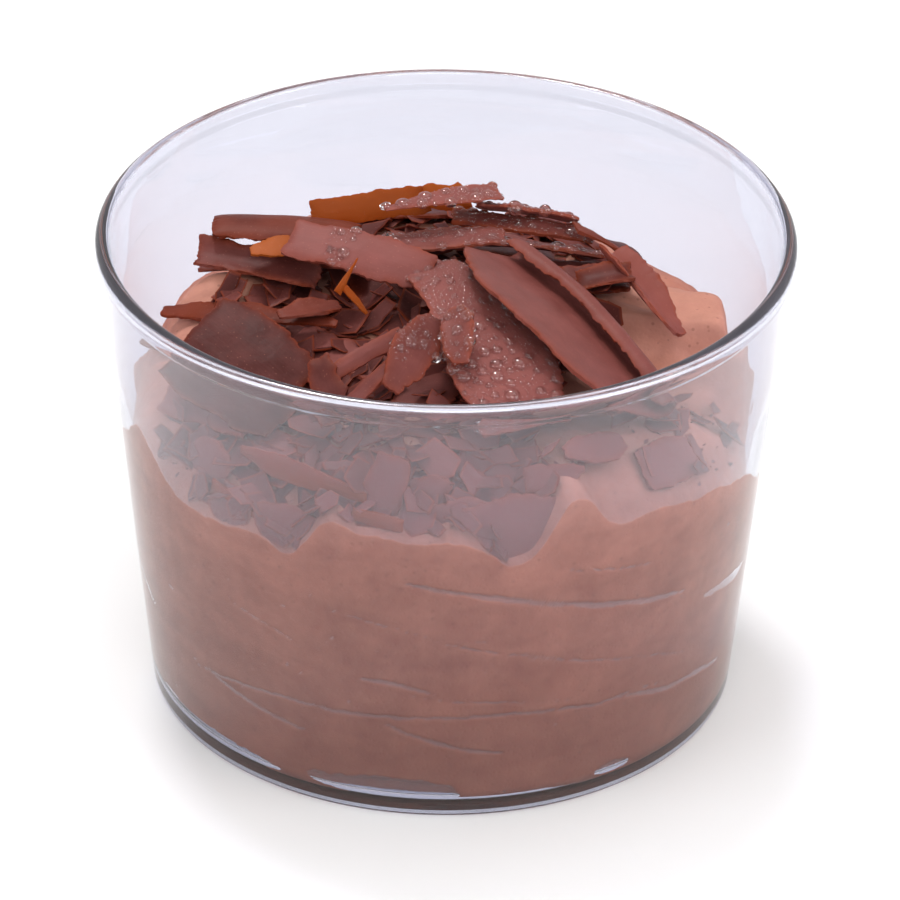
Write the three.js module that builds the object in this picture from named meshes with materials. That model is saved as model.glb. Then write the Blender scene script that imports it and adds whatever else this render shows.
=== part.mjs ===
// Chocolate mousse in its clear tapered cup, with scraped chocolate shavings heaped on top.
// Millimetres, +Z up. The origin is on the resting plane under the middle of the cup, and the
// side with the most shavings, the front, faces -Y.
// The cup and the mousse are turned shapes. Each shaving is a thin curved strip that settles on
// what lies under it, so the order of the list below is the order in which they fell.

import * as THREE from "three";

// Cup: thin-walled, with a foot ring, a taper and a low collar under the lip.
const CUP_HEIGHT = 59;
const RIM_RADIUS = 41;
const BASE_RADIUS = 34.8; // outside, where the taper meets the resting plane
const TAPER = 0.099; // growth of the radius for each millimetre of height
const WALL = 1.3;
const FLOOR = 1.8;
const FOOT_CORNER = 0.9;
const FOOT_RING_WIDTH = 2.7;
const UNDERSIDE_RECESS = 0.6;
const COLLAR_HEIGHT = 2.7;
const LIP_ROUND_OUT = 1.05;
const LIP_ROUND_IN = 0.5;
const INNER_CORNER = 2;

// Mousse: fills the cup to an uneven line on the wall and rises to a mound.
const CLEARANCE = 0.3; // between any two touching solids
const MOUND_TOP = 48.1;
const WALL_LINE = 37.5; // usual height of the mousse where it meets the wall
// How far from the wall the mound takes to rise, as a share of the radius: long ramps at the front
// and the back, short shoulders at the sides.
const RAMP_FRONT = 0.27;
const RAMP_SIDE = 0.11;
const MOUSSE_CORNER = 2.2;

// Turned shapes share this step, so the gap between cup and mousse is even.
const TURN_STEPS = 72;

// Shavings.
const SHEET = 0.8; // usual thickness
const SECTION_STEPS = 24; // steps of the walk across a strip from its middle line
const WALL_CLEARANCE = 0.45; // between a shaving and the cup
const STEEPEST_REST = 58; // degrees
const SKYLINE_CELL = 0.25;
const SKYLINE_HALF = 40;
const DROP_ROUNDS = 8; // tries at sliding a shaving clear of the cup
const SLIDE_EXTRA = 0.05;

const rad = THREE.MathUtils.degToRad;
const innerRadius = (z) => BASE_RADIUS + TAPER * z - WALL;

// ---------- cup ----------

// Points on a quarter or other arc, from one angle to another, in degrees.
function arc(centreX, centreY, radius, from, to, steps) {
  const points = [];
  for (let i = 0; i <= steps; i++) {
    const a = rad(from + ((to - from) * i) / steps);
    points.push(new THREE.Vector2(centreX + radius * Math.cos(a), centreY + radius * Math.sin(a)));
  }
  return points;
}

// A closed turned solid about +Z from a profile of (radius, height) points.
function turned(profile) {
  const geometry = new THREE.LatheGeometry(profile, TURN_STEPS);
  return geometry.rotateX(Math.PI / 2).rotateZ(Math.PI / 2);
}

function cupGeometry() {
  const point = (r, z) => new THREE.Vector2(r, z);
  const footOuter = BASE_RADIUS - FOOT_CORNER;
  const collarFoot = CUP_HEIGHT - COLLAR_HEIGHT;
  const wallAtCollar = BASE_RADIUS + TAPER * collarFoot;
  const collarProud = RIM_RADIUS - wallAtCollar;
  const lipInner = innerRadius(CUP_HEIGHT);
  const cornerCentre = innerRadius(FLOOR + INNER_CORNER) - INNER_CORNER;
  return turned([
    point(0, UNDERSIDE_RECESS),
    point(footOuter - FOOT_RING_WIDTH - UNDERSIDE_RECESS, UNDERSIDE_RECESS),
    point(footOuter - FOOT_RING_WIDTH, 0),
    ...arc(footOuter, FOOT_CORNER, FOOT_CORNER, -90, 0, 3),
    point(wallAtCollar, collarFoot),
    point(RIM_RADIUS - collarProud / 4, collarFoot + collarProud / 4),
    point(RIM_RADIUS, collarFoot + collarProud),
    ...arc(RIM_RADIUS - LIP_ROUND_OUT, CUP_HEIGHT - LIP_ROUND_OUT, LIP_ROUND_OUT, 0, 90, 4),
    ...arc(lipInner + LIP_ROUND_IN, CUP_HEIGHT - LIP_ROUND_IN, LIP_ROUND_IN, 90, 180, 3),
    ...arc(cornerCentre, FLOOR + INNER_CORNER, INNER_CORNER, 0, -90, 4),
    point(0, FLOOR),
  ]);
}

// ---------- mousse ----------

// A smooth bump: full at 0, nearly gone at twice its spread.
const bump = (distance, spread) => Math.exp(-((distance / spread) ** 2));

// Where the mousse was smeared higher or lower on the wall: azimuth from the front towards +X,
// rise and spread, the angles in degrees.
const WALL_SMEARS = [
  [-96, -8, 13],
  [-67, 3.8, 6],
  [-50, -2, 7],
  [-40, -1.5, 5],
  [-28, -7, 5.5],
  [-20, 3.4, 5],
  [-11, 2.2, 6],
  [4, 0.6, 4],
  [12.5, -7, 6],
  [24, 6.4, 5.5],
  [40, 1.6, 8],
  [90, -9.5, 20],
  [125, 2, 16],
  [165, -2, 14],
  [205, 4, 16],
  [235, 1.5, 10],
];

// Spoonfuls that stand out of the mound, and dips between them: place, rise and spread.
const SPOONFULS = [
  { x: 29, y: 1, rise: 3, spread: 7 },
  { x: 19, y: 0, rise: 2, spread: 6 },
  { x: 25, y: -12, rise: 2, spread: 5 },
  { x: -27, y: 4, rise: 3, spread: 6 },
  { x: -19, y: -8, rise: -2, spread: 7 },
  { x: 1, y: 8, rise: 0.6, spread: 11 },
  { x: 27, y: 17, rise: -5, spread: 10 },
  { x: -27, y: 17, rise: -5, spread: 9 },
  { x: -3, y: -27, rise: 1.5, spread: 6 },
  { x: 8, y: 27, rise: 1.5, spread: 8 },
];

function wallLine(azimuth) {
  let height = WALL_LINE;
  for (const [middle, rise, spread] of WALL_SMEARS) {
    const away = THREE.MathUtils.euclideanModulo(azimuth - middle + 180, 360) - 180;
    height += rise * bump(away, spread);
  }
  return height;
}

// Height of the mousse at a share of the way from the middle to the wall.
function mousseTop(x, y, share) {
  const azimuth = THREE.MathUtils.radToDeg(Math.atan2(x, -y));
  const edge = wallLine(azimuth);
  const fade = 1 - share ** 8;
  const ramp = THREE.MathUtils.lerp(RAMP_FRONT, RAMP_SIDE, Math.sin(rad(azimuth)) ** 2);
  let height = edge + (MOUND_TOP - edge) * Math.tanh((1 - share) / ramp);
  for (const s of SPOONFULS) {
    height += fade * s.rise * bump(Math.hypot(x - s.x, y - s.y), s.spread);
  }
  return height;
}

// Rings of vertices from the underside's middle up the wall and over the mound.
function mousseGeometry() {
  const shares = [0.965, 0.91, 0.84, 0.75, 0.64, 0.51, 0.36, 0.18];
  const foot = FLOOR + CLEARANCE;
  const positions = [];
  const ring = (radiusAt, heightAt) => {
    for (let i = 0; i < TURN_STEPS; i++) {
      const angle = (2 * Math.PI * i) / TURN_STEPS;
      const azimuth = THREE.MathUtils.radToDeg(angle) + 90;
      const z = heightAt(azimuth, angle);
      const r = radiusAt(z, azimuth);
      positions.push(r * Math.cos(angle), r * Math.sin(angle), z);
    }
  };
  const side = (z) => innerRadius(z) - CLEARANCE;
  ring(() => side(foot + MOUSSE_CORNER) - MOUSSE_CORNER, () => foot);
  const cornerSag = MOUSSE_CORNER * (1 - Math.SQRT1_2);
  ring(() => side(foot + MOUSSE_CORNER) - cornerSag, () => foot + cornerSag);
  ring((z) => side(z), () => foot + MOUSSE_CORNER);
  ring((z) => side(z), (azimuth) => wallLine(azimuth));
  for (const share of shares) {
    const reach = (azimuth) => side(wallLine(azimuth)) * share;
    ring(
      (z, azimuth) => reach(azimuth),
      (azimuth, angle) => {
        const r = reach(azimuth);
        return mousseTop(r * Math.cos(angle), r * Math.sin(angle), share);
      },
    );
  }
  const rings = positions.length / (3 * TURN_STEPS);
  const under = rings * TURN_STEPS;
  positions.push(0, 0, foot);
  positions.push(0, 0, mousseTop(0, 0, 0));
  const faces = [];
  for (let i = 0; i < TURN_STEPS; i++) {
    const next = (i + 1) % TURN_STEPS;
    faces.push(under, next, i);
    for (let k = 0; k + 1 < rings; k++) {
      const low = k * TURN_STEPS;
      const high = low + TURN_STEPS;
      faces.push(low + i, low + next, high + next);
      faces.push(low + i, high + next, high + i);
    }
    const last = (rings - 1) * TURN_STEPS;
    faces.push(last + i, last + next, under + 1);
  }
  return indexed(positions, faces);
}

function indexed(positions, faces) {
  const geometry = new THREE.BufferGeometry();
  geometry.setAttribute("position", new THREE.Float32BufferAttribute(positions, 3));
  geometry.setIndex(faces);
  geometry.computeVertexNormals();
  return geometry;
}

// ---------- shavings ----------

// Outlines: the strip's reach to its right and left at even stations along its length, as shares
// of its half width.
const OUTLINES = {
  plate: [[0.7, 0.85], [1, 0.95], [0.9, 1], [1, 0.85], [0.8, 0.6]],
  broken: [[0.45, 0.8], [0.9, 1], [1, 0.7], [0.7, 0.95], [0.85, 0.35]],
  shard: [[0.9, 0.75], [1, 0.9], [0.75, 0.8], [0.55, 0.6], [0.2, 0.3]],
  leaf: [[0.3, 0.35], [0.8, 0.85], [1, 1], [0.85, 0.95], [0.35, 0.5]],
  bar: [[0.85, 0.9], [1, 0.9], [0.95, 1], [1, 0.95], [0.9, 0.8]],
  splinter: [[0.4, 0.3], [0.8, 0.9], [1, 0.7], [0.8, 1], [0.9, 0.6], [0.5, 0.7], [0.3, 0.2]],
  spike: [[1, 0.9], [0.8, 0.85], [0.5, 0.6], [0.25, 0.3], [0.08, 0.1]],
  tongue: [[0.5, 0.55], [0.6, 0.7], [0.62, 0.8], [0.8, 0.95], [0.95, 1], [1, 0.9], [0.85, 0.7]],
  rolledPlate: [[0.2, 1], [0.75, 1], [1, 1], [0.95, 1], [0.7, 1], [0.85, 1], [0.4, 1]],
};

// Reach at a share of the length, between two stations of an outline.
function reachAt(outline, share, side) {
  const place = share * (outline.length - 1);
  const i = Math.min(Math.floor(place), outline.length - 2);
  return THREE.MathUtils.lerp(outline[i][side], outline[i + 1][side], place - i);
}

// One point of a strip's cross-section: it walks from the middle line outwards and turns as it
// goes, slowly over the cupped width and fast past the start of a rolled edge.
function sectionPoint(reach, width, cup, rollStart, rollRadius) {
  const step = reach / SECTION_STEPS;
  let y = 0;
  let z = 0;
  let angle = 0;
  for (let i = 0; i < SECTION_STEPS; i++) {
    const v = step * (i + 0.5);
    angle = (cup * Math.min(v, rollStart)) / width + Math.max(0, v - rollStart) / rollRadius;
    y += step * Math.cos(angle);
    z += step * Math.sin(angle);
  }
  return { y, z, angle };
}

// A scraped strip about its own middle, its length along X, its width along Y. bend and cup are
// the total turn along the length and across the width, in degrees, and curl adds a left edge
// that rolls over.
function stripGeometry({
  length,
  width,
  outline,
  thick = SHEET,
  bend = -12,
  cup = 14,
  curl = null,
  cells = [4, 2],
}) {
  const stations = OUTLINES[outline];
  const [along, across] = cells;
  const row = across + 1 + (curl ? curl.cells : 0);
  const tops = [];
  const bottoms = [];
  const spine = new THREE.Vector3();
  const middle = new THREE.Vector3();
  for (let i = 0; i <= along; i++) {
    const share = i / along - 0.5;
    const step = length / along;
    if (i > 0) {
      const pitch = rad(bend) * (share - 0.5 / along);
      spine.x += step * Math.cos(pitch);
      spine.z += step * Math.sin(pitch);
    }
    const turn = new THREE.Euler(0, -rad(bend) * share, 0);
    const rightReach = (reachAt(stations, i / along, 0) * width) / 2;
    const leftReach = (reachAt(stations, i / along, 1) * width) / 2;
    const curlReach = curl ? rad(curl.turn) * curl.radius : 0;
    for (let j = 0; j < row; j++) {
      const v =
        j <= across
          ? THREE.MathUtils.lerp(-rightReach, leftReach, j / across)
          : leftReach + (curlReach * (j - across)) / curl.cells;
      const { y, z, angle } = sectionPoint(v, width, rad(cup), leftReach, curl ? curl.radius : 1);
      const point = new THREE.Vector3(0, y, z).applyEuler(turn).add(spine);
      const normal = new THREE.Vector3(0, -Math.sin(angle), Math.cos(angle)).applyEuler(turn);
      tops.push(point.clone().addScaledVector(normal, thick / 2));
      bottoms.push(point.clone().addScaledVector(normal, -thick / 2));
      middle.addScaledVector(point, 1 / ((along + 1) * row));
    }
  }
  const positions = [...tops, ...bottoms].flatMap((p) => p.sub(middle).toArray());
  const faces = [];
  const under = tops.length;
  const quad = (a, b, c, d) => faces.push(a, b, c, a, c, d);
  for (let i = 0; i < along; i++) {
    for (let j = 0; j < row - 1; j++) {
      const a = i * row + j;
      quad(a, a + row, a + row + 1, a + 1);
      quad(under + a, under + a + 1, under + a + row + 1, under + a + row);
    }
    const right = i * row;
    const left = right + row - 1;
    quad(right, under + right, under + right + row, right + row);
    quad(left, left + row, under + left + row, under + left);
  }
  for (let j = 0; j < row - 1; j++) {
    const end = along * row + j;
    quad(j, j + 1, under + j + 1, under + j);
    quad(end, under + end, under + end + 1, end + 1);
  }
  return indexed(positions, faces);
}

// ---------- how the shavings come to rest ----------

// The skyline holds the highest surface so far over a square grid of cells, none outside the mousse.
const skylineSide = Math.round((2 * SKYLINE_HALF) / SKYLINE_CELL);
const skyline = new Float32Array(skylineSide * skylineSide).fill(-Infinity);
const cellMiddle = (i) => (i + 0.5) * SKYLINE_CELL - SKYLINE_HALF;

// The lowest and highest surface of a placed mesh over each cell that it covers.
function shadowOf(geometry, matrix) {
  const shadow = new Map();
  const place = geometry.getAttribute("position");
  const index = geometry.index;
  const corners = [new THREE.Vector3(), new THREE.Vector3(), new THREE.Vector3()];
  const toCell = (v) => (v + SKYLINE_HALF) / SKYLINE_CELL - 0.5;
  for (let t = 0; t < index.count; t += 3) {
    corners.forEach((c, k) => c.fromBufferAttribute(place, index.getX(t + k)).applyMatrix4(matrix));
    const [a, b, c] = corners;
    const area = (b.x - a.x) * (c.y - a.y) - (c.x - a.x) * (b.y - a.y);
    if (Math.abs(area) < 1e-9) continue;
    const xs = corners.map((p) => p.x);
    const ys = corners.map((p) => p.y);
    const lastX = Math.min(skylineSide - 1, Math.floor(toCell(Math.max(...xs))));
    const lastY = Math.min(skylineSide - 1, Math.floor(toCell(Math.max(...ys))));
    for (let i = Math.max(0, Math.ceil(toCell(Math.min(...xs)))); i <= lastX; i++) {
      for (let j = Math.max(0, Math.ceil(toCell(Math.min(...ys)))); j <= lastY; j++) {
        const x = cellMiddle(i);
        const y = cellMiddle(j);
        const toB = ((x - a.x) * (c.y - a.y) - (c.x - a.x) * (y - a.y)) / area;
        const toC = ((b.x - a.x) * (y - a.y) - (x - a.x) * (b.y - a.y)) / area;
        if (toB < 0 || toC < 0 || toB + toC > 1) continue;
        const z = a.z + toB * (b.z - a.z) + toC * (c.z - a.z);
        const cell = i * skylineSide + j;
        const known = shadow.get(cell);
        if (!known) shadow.set(cell, [z, z]);
        else shadow.set(cell, [Math.min(known[0], z), Math.max(known[1], z)]);
      }
    }
  }
  return shadow;
}

function raiseSkyline(shadow) {
  for (const [cell, span] of shadow) skyline[cell] = Math.max(skyline[cell], span[1]);
}

// The upward normal of the plane that fits the skyline best under a shadow, never steeper than
// a shaving can rest. lean is the share of the slope that the shaving takes up.
function restNormal(shadow, lean) {
  let n = 0;
  let [sx, sy, sz, sxx, sxy, syy, sxz, syz] = [0, 0, 0, 0, 0, 0, 0, 0];
  for (const cell of shadow.keys()) {
    const z = skyline[cell];
    if (z === -Infinity) continue;
    const x = cellMiddle(Math.floor(cell / skylineSide));
    const y = cellMiddle(cell % skylineSide);
    n += 1;
    sx += x;
    sy += y;
    sz += z;
    sxx += x * x;
    sxy += x * y;
    syy += y * y;
    sxz += x * z;
    syz += y * z;
  }
  const fit = new THREE.Matrix3().set(sxx, sxy, sx, sxy, syy, sy, sx, sy, n);
  const slopes = new THREE.Vector3(sxz, syz, sz).applyMatrix3(fit.invert());
  const steep = Math.hypot(slopes.x, slopes.y);
  const shrink = lean * Math.min(1, Math.tan(rad(STEEPEST_REST)) / Math.max(steep, 1e-6));
  return new THREE.Vector3(-slopes.x * shrink, -slopes.y * shrink, 1).normalize();
}

// A turn whose X runs along the given heading in the plane of the normal, then tipped by pitch
// (the front end up) and roll (the left side up).
function restTurn(normal, heading, pitch, roll) {
  const ahead = new THREE.Vector3(Math.cos(rad(heading)), Math.sin(rad(heading)), 0);
  ahead.addScaledVector(normal, -ahead.dot(normal)).normalize();
  const left = new THREE.Vector3().crossVectors(normal, ahead);
  const basis = new THREE.Matrix4().makeBasis(ahead, left, normal);
  const tip = new THREE.Euler(rad(roll), -rad(pitch), 0, "YXZ");
  const rested = new THREE.Quaternion().setFromRotationMatrix(basis);
  return rested.multiply(new THREE.Quaternion().setFromEuler(tip));
}

// How far a placed mesh reaches past the cup's inside, and in which direction.
function pastWall(geometry, matrix) {
  const place = geometry.getAttribute("position");
  const worst = { past: 0, x: 0, y: 0 };
  const p = new THREE.Vector3();
  for (let i = 0; i < place.count; i++) {
    p.fromBufferAttribute(place, i).applyMatrix4(matrix);
    const r = Math.hypot(p.x, p.y);
    const past = r - (innerRadius(Math.min(p.z, CUP_HEIGHT)) - WALL_CLEARANCE);
    if (past > worst.past) Object.assign(worst, { past, x: p.x / r, y: p.y / r });
  }
  return worst;
}

// Drops a mesh at x, y until it almost touches a surface. It slides inwards where it would meet
// the cup, and is turned afresh at each place.
function drop(mesh, x, y, surface, turnThere) {
  for (let round = 0; round < DROP_ROUNDS; round++) {
    mesh.position.set(x, y, 0);
    turnThere();
    mesh.updateMatrix();
    let height = -Infinity;
    for (const [cell, span] of shadowOf(mesh.geometry, mesh.matrix)) {
      height = Math.max(height, surface[cell] + CLEARANCE - span[0]);
    }
    mesh.position.z = height;
    mesh.updateMatrix();
    const wall = pastWall(mesh.geometry, mesh.matrix);
    if (wall.past <= 0) break;
    x -= wall.x * (wall.past + SLIDE_EXTRA);
    y -= wall.y * (wall.past + SLIDE_EXTRA);
  }
}

// Lays a strip at x, y with its length along a heading. It takes up the slope under it.
function lay(mesh, { at, turn, pitch = 0, roll = 0, lean = 1 }) {
  drop(mesh, at[0], at[1], skyline, () => {
    mesh.quaternion.setFromAxisAngle(new THREE.Vector3(0, 0, 1), rad(turn));
    mesh.updateMatrix();
    const normal = restNormal(shadowOf(mesh.geometry, mesh.matrix), lean);
    mesh.quaternion.copy(restTurn(normal, turn, pitch, roll));
  });
  raiseSkyline(shadowOf(mesh.geometry, mesh.matrix));
}

// Stands a strip on its edge between the cup and the mousse, at an azimuth from the front towards
// +X. Its length is turned up from level by spin, and its top leans away from the wall.
function stand(mesh, { azimuth, inset = 0, lift = 0, spin = 0, away = 8 }) {
  const out = new THREE.Vector3(Math.sin(rad(azimuth)), -Math.cos(rad(azimuth)), 0);
  const level = new THREE.Vector3(Math.cos(rad(azimuth)), Math.sin(rad(azimuth)), 0);
  const up = new THREE.Vector3(0, 0, 1);
  const basis = new THREE.Matrix4().makeBasis(level, up, out);
  const tip = new THREE.Quaternion().setFromEuler(new THREE.Euler(-rad(away), 0, rad(spin), "XYZ"));
  const radius = innerRadius(WALL_LINE) - inset;
  mesh.quaternion.setFromRotationMatrix(basis).multiply(tip);
  drop(mesh, out.x * radius, out.y * radius, bareMousse, () => {});
  mesh.position.z += lift;
}

// The shavings, from the first that fell to the last. Sizes in millimetres, angles in degrees;
// turn is the heading of the length from +X.
const SHAVINGS = [
  // lower layer, on the mousse
  { name: "bed_centre", outline: "broken", length: 22, width: 12, at: [0, 4], turn: 12, bend: -14 },
  { name: "bed_right", outline: "plate", length: 17, width: 8, at: [13, 2], turn: 8, bend: -16 },
  { name: "bed_rear", outline: "plate", length: 20, width: 8, at: [3, 12], turn: -6, bend: -18 },
  { name: "bed_front", outline: "broken", length: 13, width: 8, at: [-2, -19], turn: 84 },
  { name: "left_ledge", outline: "bar", length: 20, width: 6, at: [-19, 7], turn: -12, bend: -10 },
  { name: "shaded_fold", outline: "broken", length: 17, width: 8, at: [-13, -11], turn: -38, cup: 50 },
  { name: "gap_flake", outline: "shard", length: 11, width: 5, at: [16.5, -17], turn: -62 },
  { name: "wall_tall", outline: "plate", length: 8, width: 6, at: [7, -30], turn: 98 },
  { name: "wall_tip", outline: "shard", length: 7, width: 4, at: [12.5, -31], turn: 12 },
  { name: "wall_left_inner", outline: "plate", length: 6.5, width: 5, at: [-18.8, -23.6], turn: -30 },
  { name: "wall_left_upper", outline: "broken", length: 6.5, width: 4.5, at: [-22.6, -20.4], turn: -42 },
  { name: "wall_far_left", outline: "plate", length: 7, width: 5, at: [-28.5, -16], turn: -30 },
  { name: "wall_right_upper", outline: "leaf", length: 9, width: 5, at: [17, -27.5], turn: 30 },
  { name: "wall_right", outline: "plate", length: 8.5, width: 6.5, at: [26, -24], turn: 42 },
  // middle layer
  {
    name: "left_splinter",
    outline: "splinter",
    length: 22,
    width: 4,
    at: [-23, -4],
    turn: -17,
    cup: 40,
    cells: [6, 2],
  },
  {
    name: "left_roll_low",
    outline: "bar",
    length: 15,
    width: 5,
    at: [-22, 3],
    turn: -14,
    cup: 80,
    cells: [4, 4],
  },
  {
    name: "left_roll_high",
    outline: "bar",
    length: 14,
    width: 7,
    at: [-20.5, 8],
    turn: -4,
    cup: -90,
    cells: [4, 4],
  },
  { name: "left_amber_leaf", outline: "leaf", length: 8, width: 3.4, at: [-20.5, 3], turn: 14, thick: 0.6 },
  {
    name: "left_curl",
    outline: "leaf",
    length: 8,
    width: 3.6,
    at: [-15.8, -6.5],
    turn: 24,
    cup: 80,
    cells: [4, 3],
  },
  { name: "amber_bit", outline: "shard", length: 7, width: 3, at: [-11, -7], turn: -26, thick: 0.6 },
  {
    name: "left_plate",
    outline: "plate",
    length: 15,
    width: 13,
    at: [-21.5, -16.5],
    turn: -36,
    bend: -18,
    cup: -26,
    cells: [5, 4],
  },
  { name: "front_flake", outline: "broken", length: 7, width: 4.4, at: [-13.5, -23.5], turn: -70 },
  { name: "arm", outline: "bar", length: 16, width: 5.6, at: [-10, -0.5], turn: -20, bend: -16, cup: -12 },
  {
    name: "tongue",
    outline: "tongue",
    length: 30,
    width: 13.5,
    at: [4, -14],
    turn: -66,
    bend: -34,
    cup: -10,
    cells: [7, 3],
  },
  {
    name: "right_roll_low",
    outline: "bar",
    length: 6.5,
    width: 4,
    at: [18.5, -3],
    turn: 10,
    cup: 90,
    cells: [4, 3],
  },
  {
    name: "right_roll_high",
    outline: "bar",
    length: 8.5,
    width: 4,
    at: [17.5, 0.5],
    turn: 10,
    cup: 100,
    cells: [4, 3],
  },
  {
    name: "fold",
    outline: "shard",
    length: 14,
    width: 7,
    at: [23.5, -3],
    turn: -46,
    cup: 140,
    cells: [4, 4],
  },
  {
    name: "right_plate",
    outline: "rolledPlate",
    length: 27,
    width: 12,
    at: [14.5, -10.5],
    turn: -49,
    bend: -14,
    cup: -6,
    thick: 0.7,
    curl: { radius: 1.2, turn: 250, cells: 6 },
    cells: [6, 3],
  },
  // upper layer
  { name: "crest_flake", outline: "plate", length: 14, width: 5, at: [0, 5], turn: 6, lean: 0.5 },
  { name: "ridge_bar", outline: "bar", length: 18, width: 3.4, at: [9.5, 5.5], turn: 3, lean: 0.5 },
  { name: "ridge_bar_rear", outline: "bar", length: 17, width: 3.6, at: [9, 9], turn: -2, lean: 0.5 },
  { name: "stick_upper", outline: "bar", length: 10.5, width: 2.2, at: [-8.8, -18.5], turn: 46 },
  { name: "stick_middle", outline: "bar", length: 9.5, width: 2, at: [-8.4, -22], turn: 42 },
  { name: "stick_lower", outline: "bar", length: 8, width: 2.4, at: [-7.8, -24.5], turn: 36 },
  {
    name: "long_leaf",
    outline: "leaf",
    length: 14,
    width: 5.4,
    at: [-3.5, -22],
    turn: -107,
    bend: -16,
    cells: [5, 2],
  },
  {
    name: "boat",
    outline: "leaf",
    length: 8.5,
    width: 4.6,
    at: [1.5, -20],
    turn: -94,
    cup: 66,
    lean: 0.8,
    cells: [5, 4],
  },
  { name: "rear_flat", outline: "plate", length: 12, width: 5, at: [9.5, 11.5], turn: 8, lean: 0.5 },
  { name: "rear_spike", outline: "spike", length: 7, width: 3.2, at: [18, 7], turn: 12, lean: 0.5 },
  {
    name: "rear_taper",
    outline: "shard",
    length: 14,
    width: 4.2,
    at: [-0.5, 8.5],
    turn: 196,
    cup: 20,
    thick: 0.5,
    lean: 0,
    cells: [4, 3],
  },
  {
    name: "rear_amber",
    outline: "bar",
    length: 13,
    width: 3.4,
    at: [-9, 12.5],
    turn: 8,
    roll: 62,
    thick: 0.6,
    cup: 0,
    lean: 0.3,
  },
  {
    name: "rear_amber_tip",
    outline: "broken",
    length: 4.6,
    width: 3.2,
    at: [-0.4, 13],
    turn: 12,
    roll: 58,
    thick: 0.6,
    cup: 0,
    lean: 0.3,
  },
  {
    name: "amber_stick",
    outline: "spike",
    length: 6,
    width: 1.4,
    at: [-11, -6.5],
    turn: 100,
    pitch: 50,
    thick: 0.6,
  },
  // the far slope
  { name: "far_left", outline: "plate", length: 12, width: 7, at: [-17, 20], turn: 50 },
  { name: "far_middle", outline: "broken", length: 12, width: 8, at: [-3, 24], turn: 8 },
  { name: "far_right", outline: "plate", length: 12, width: 7, at: [13, 21], turn: -34 },
  { name: "far_edge", outline: "shard", length: 9, width: 5, at: [22, 16], turn: -60 },
  { name: "far_low", outline: "leaf", length: 9, width: 5, at: [-9, 31], turn: 20 },
  // standing between the mousse and the front of the cup
  {
    name: "wall_big",
    outline: "plate",
    length: 9.5,
    width: 7.5,
    azimuth: 12.5,
    inset: 0.6,
    spin: 8,
    cup: -8,
  },
  { name: "wall_low", outline: "leaf", length: 7, width: 5, azimuth: 2.6, inset: 2.2, spin: 6, cup: -8 },
  {
    name: "wall_middle",
    outline: "broken",
    length: 6,
    width: 4.4,
    azimuth: -5.2,
    inset: 3.4,
    spin: 66,
    cup: -8,
  },
  {
    name: "wall_red_stick",
    outline: "bar",
    length: 6,
    width: 1.8,
    azimuth: -11.5,
    inset: 0.6,
    spin: -8,
    cup: 0,
  },
  {
    name: "wall_upright",
    outline: "plate",
    length: 8,
    width: 4.4,
    azimuth: -12.5,
    inset: 2.3,
    spin: 80,
    cup: -8,
  },
  {
    name: "wall_round",
    outline: "leaf",
    length: 8.5,
    width: 4.8,
    azimuth: -27,
    inset: 0.4,
    spin: -12,
    cup: -8,
  },
  {
    name: "wall_red_edge",
    outline: "spike",
    length: 10,
    width: 2.4,
    azimuth: -39,
    inset: 0.8,
    spin: -12,
    cup: 0,
  },
  { name: "wall_grey", outline: "leaf", length: 7, width: 6, azimuth: -52, inset: 1, spin: 20, cup: -8 },
  {
    name: "wall_long",
    outline: "splinter",
    length: 15,
    width: 3.4,
    azimuth: -29,
    inset: 2.6,
    lift: 1.6,
    spin: -6,
    bend: -26,
    cup: 0,
  },
];

const CHOCOLATE = 0x7a3a33;
const AMBER = 0xa4531f;
const AMBER_PIECES = ["left_amber_leaf", "amber_bit", "amber_stick", "rear_amber", "rear_amber_tip"];

// ---------- the whole ----------

const model = new THREE.Group();

function add(name, geometry, look) {
  const mesh = new THREE.Mesh(geometry, new THREE.MeshStandardMaterial(look));
  mesh.name = name;
  model.add(mesh);
  return mesh;
}

const clear = { color: 0xeceef6, roughness: 0.05, metalness: 0, transparent: true, opacity: 0.3 };
add("cup", cupGeometry(), clear);
const mousse = add("mousse", mousseGeometry(), { color: 0x9b6a5e, roughness: 0.7, metalness: 0 });
raiseSkyline(shadowOf(mousse.geometry, mousse.matrix));
const bareMousse = skyline.slice();

for (const shaving of SHAVINGS) {
  const color = AMBER_PIECES.includes(shaving.name) ? AMBER : CHOCOLATE;
  const look = { color, roughness: 0.45, metalness: 0 };
  const mesh = add("shaving_" + shaving.name, stripGeometry(shaving), look);
  if (shaving.at) lay(mesh, shaving);
  else stand(mesh, shaving);
}

export default model;
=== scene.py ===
import math

import bmesh
import bpy
import numpy as np
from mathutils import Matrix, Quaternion, Vector, kdtree


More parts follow.
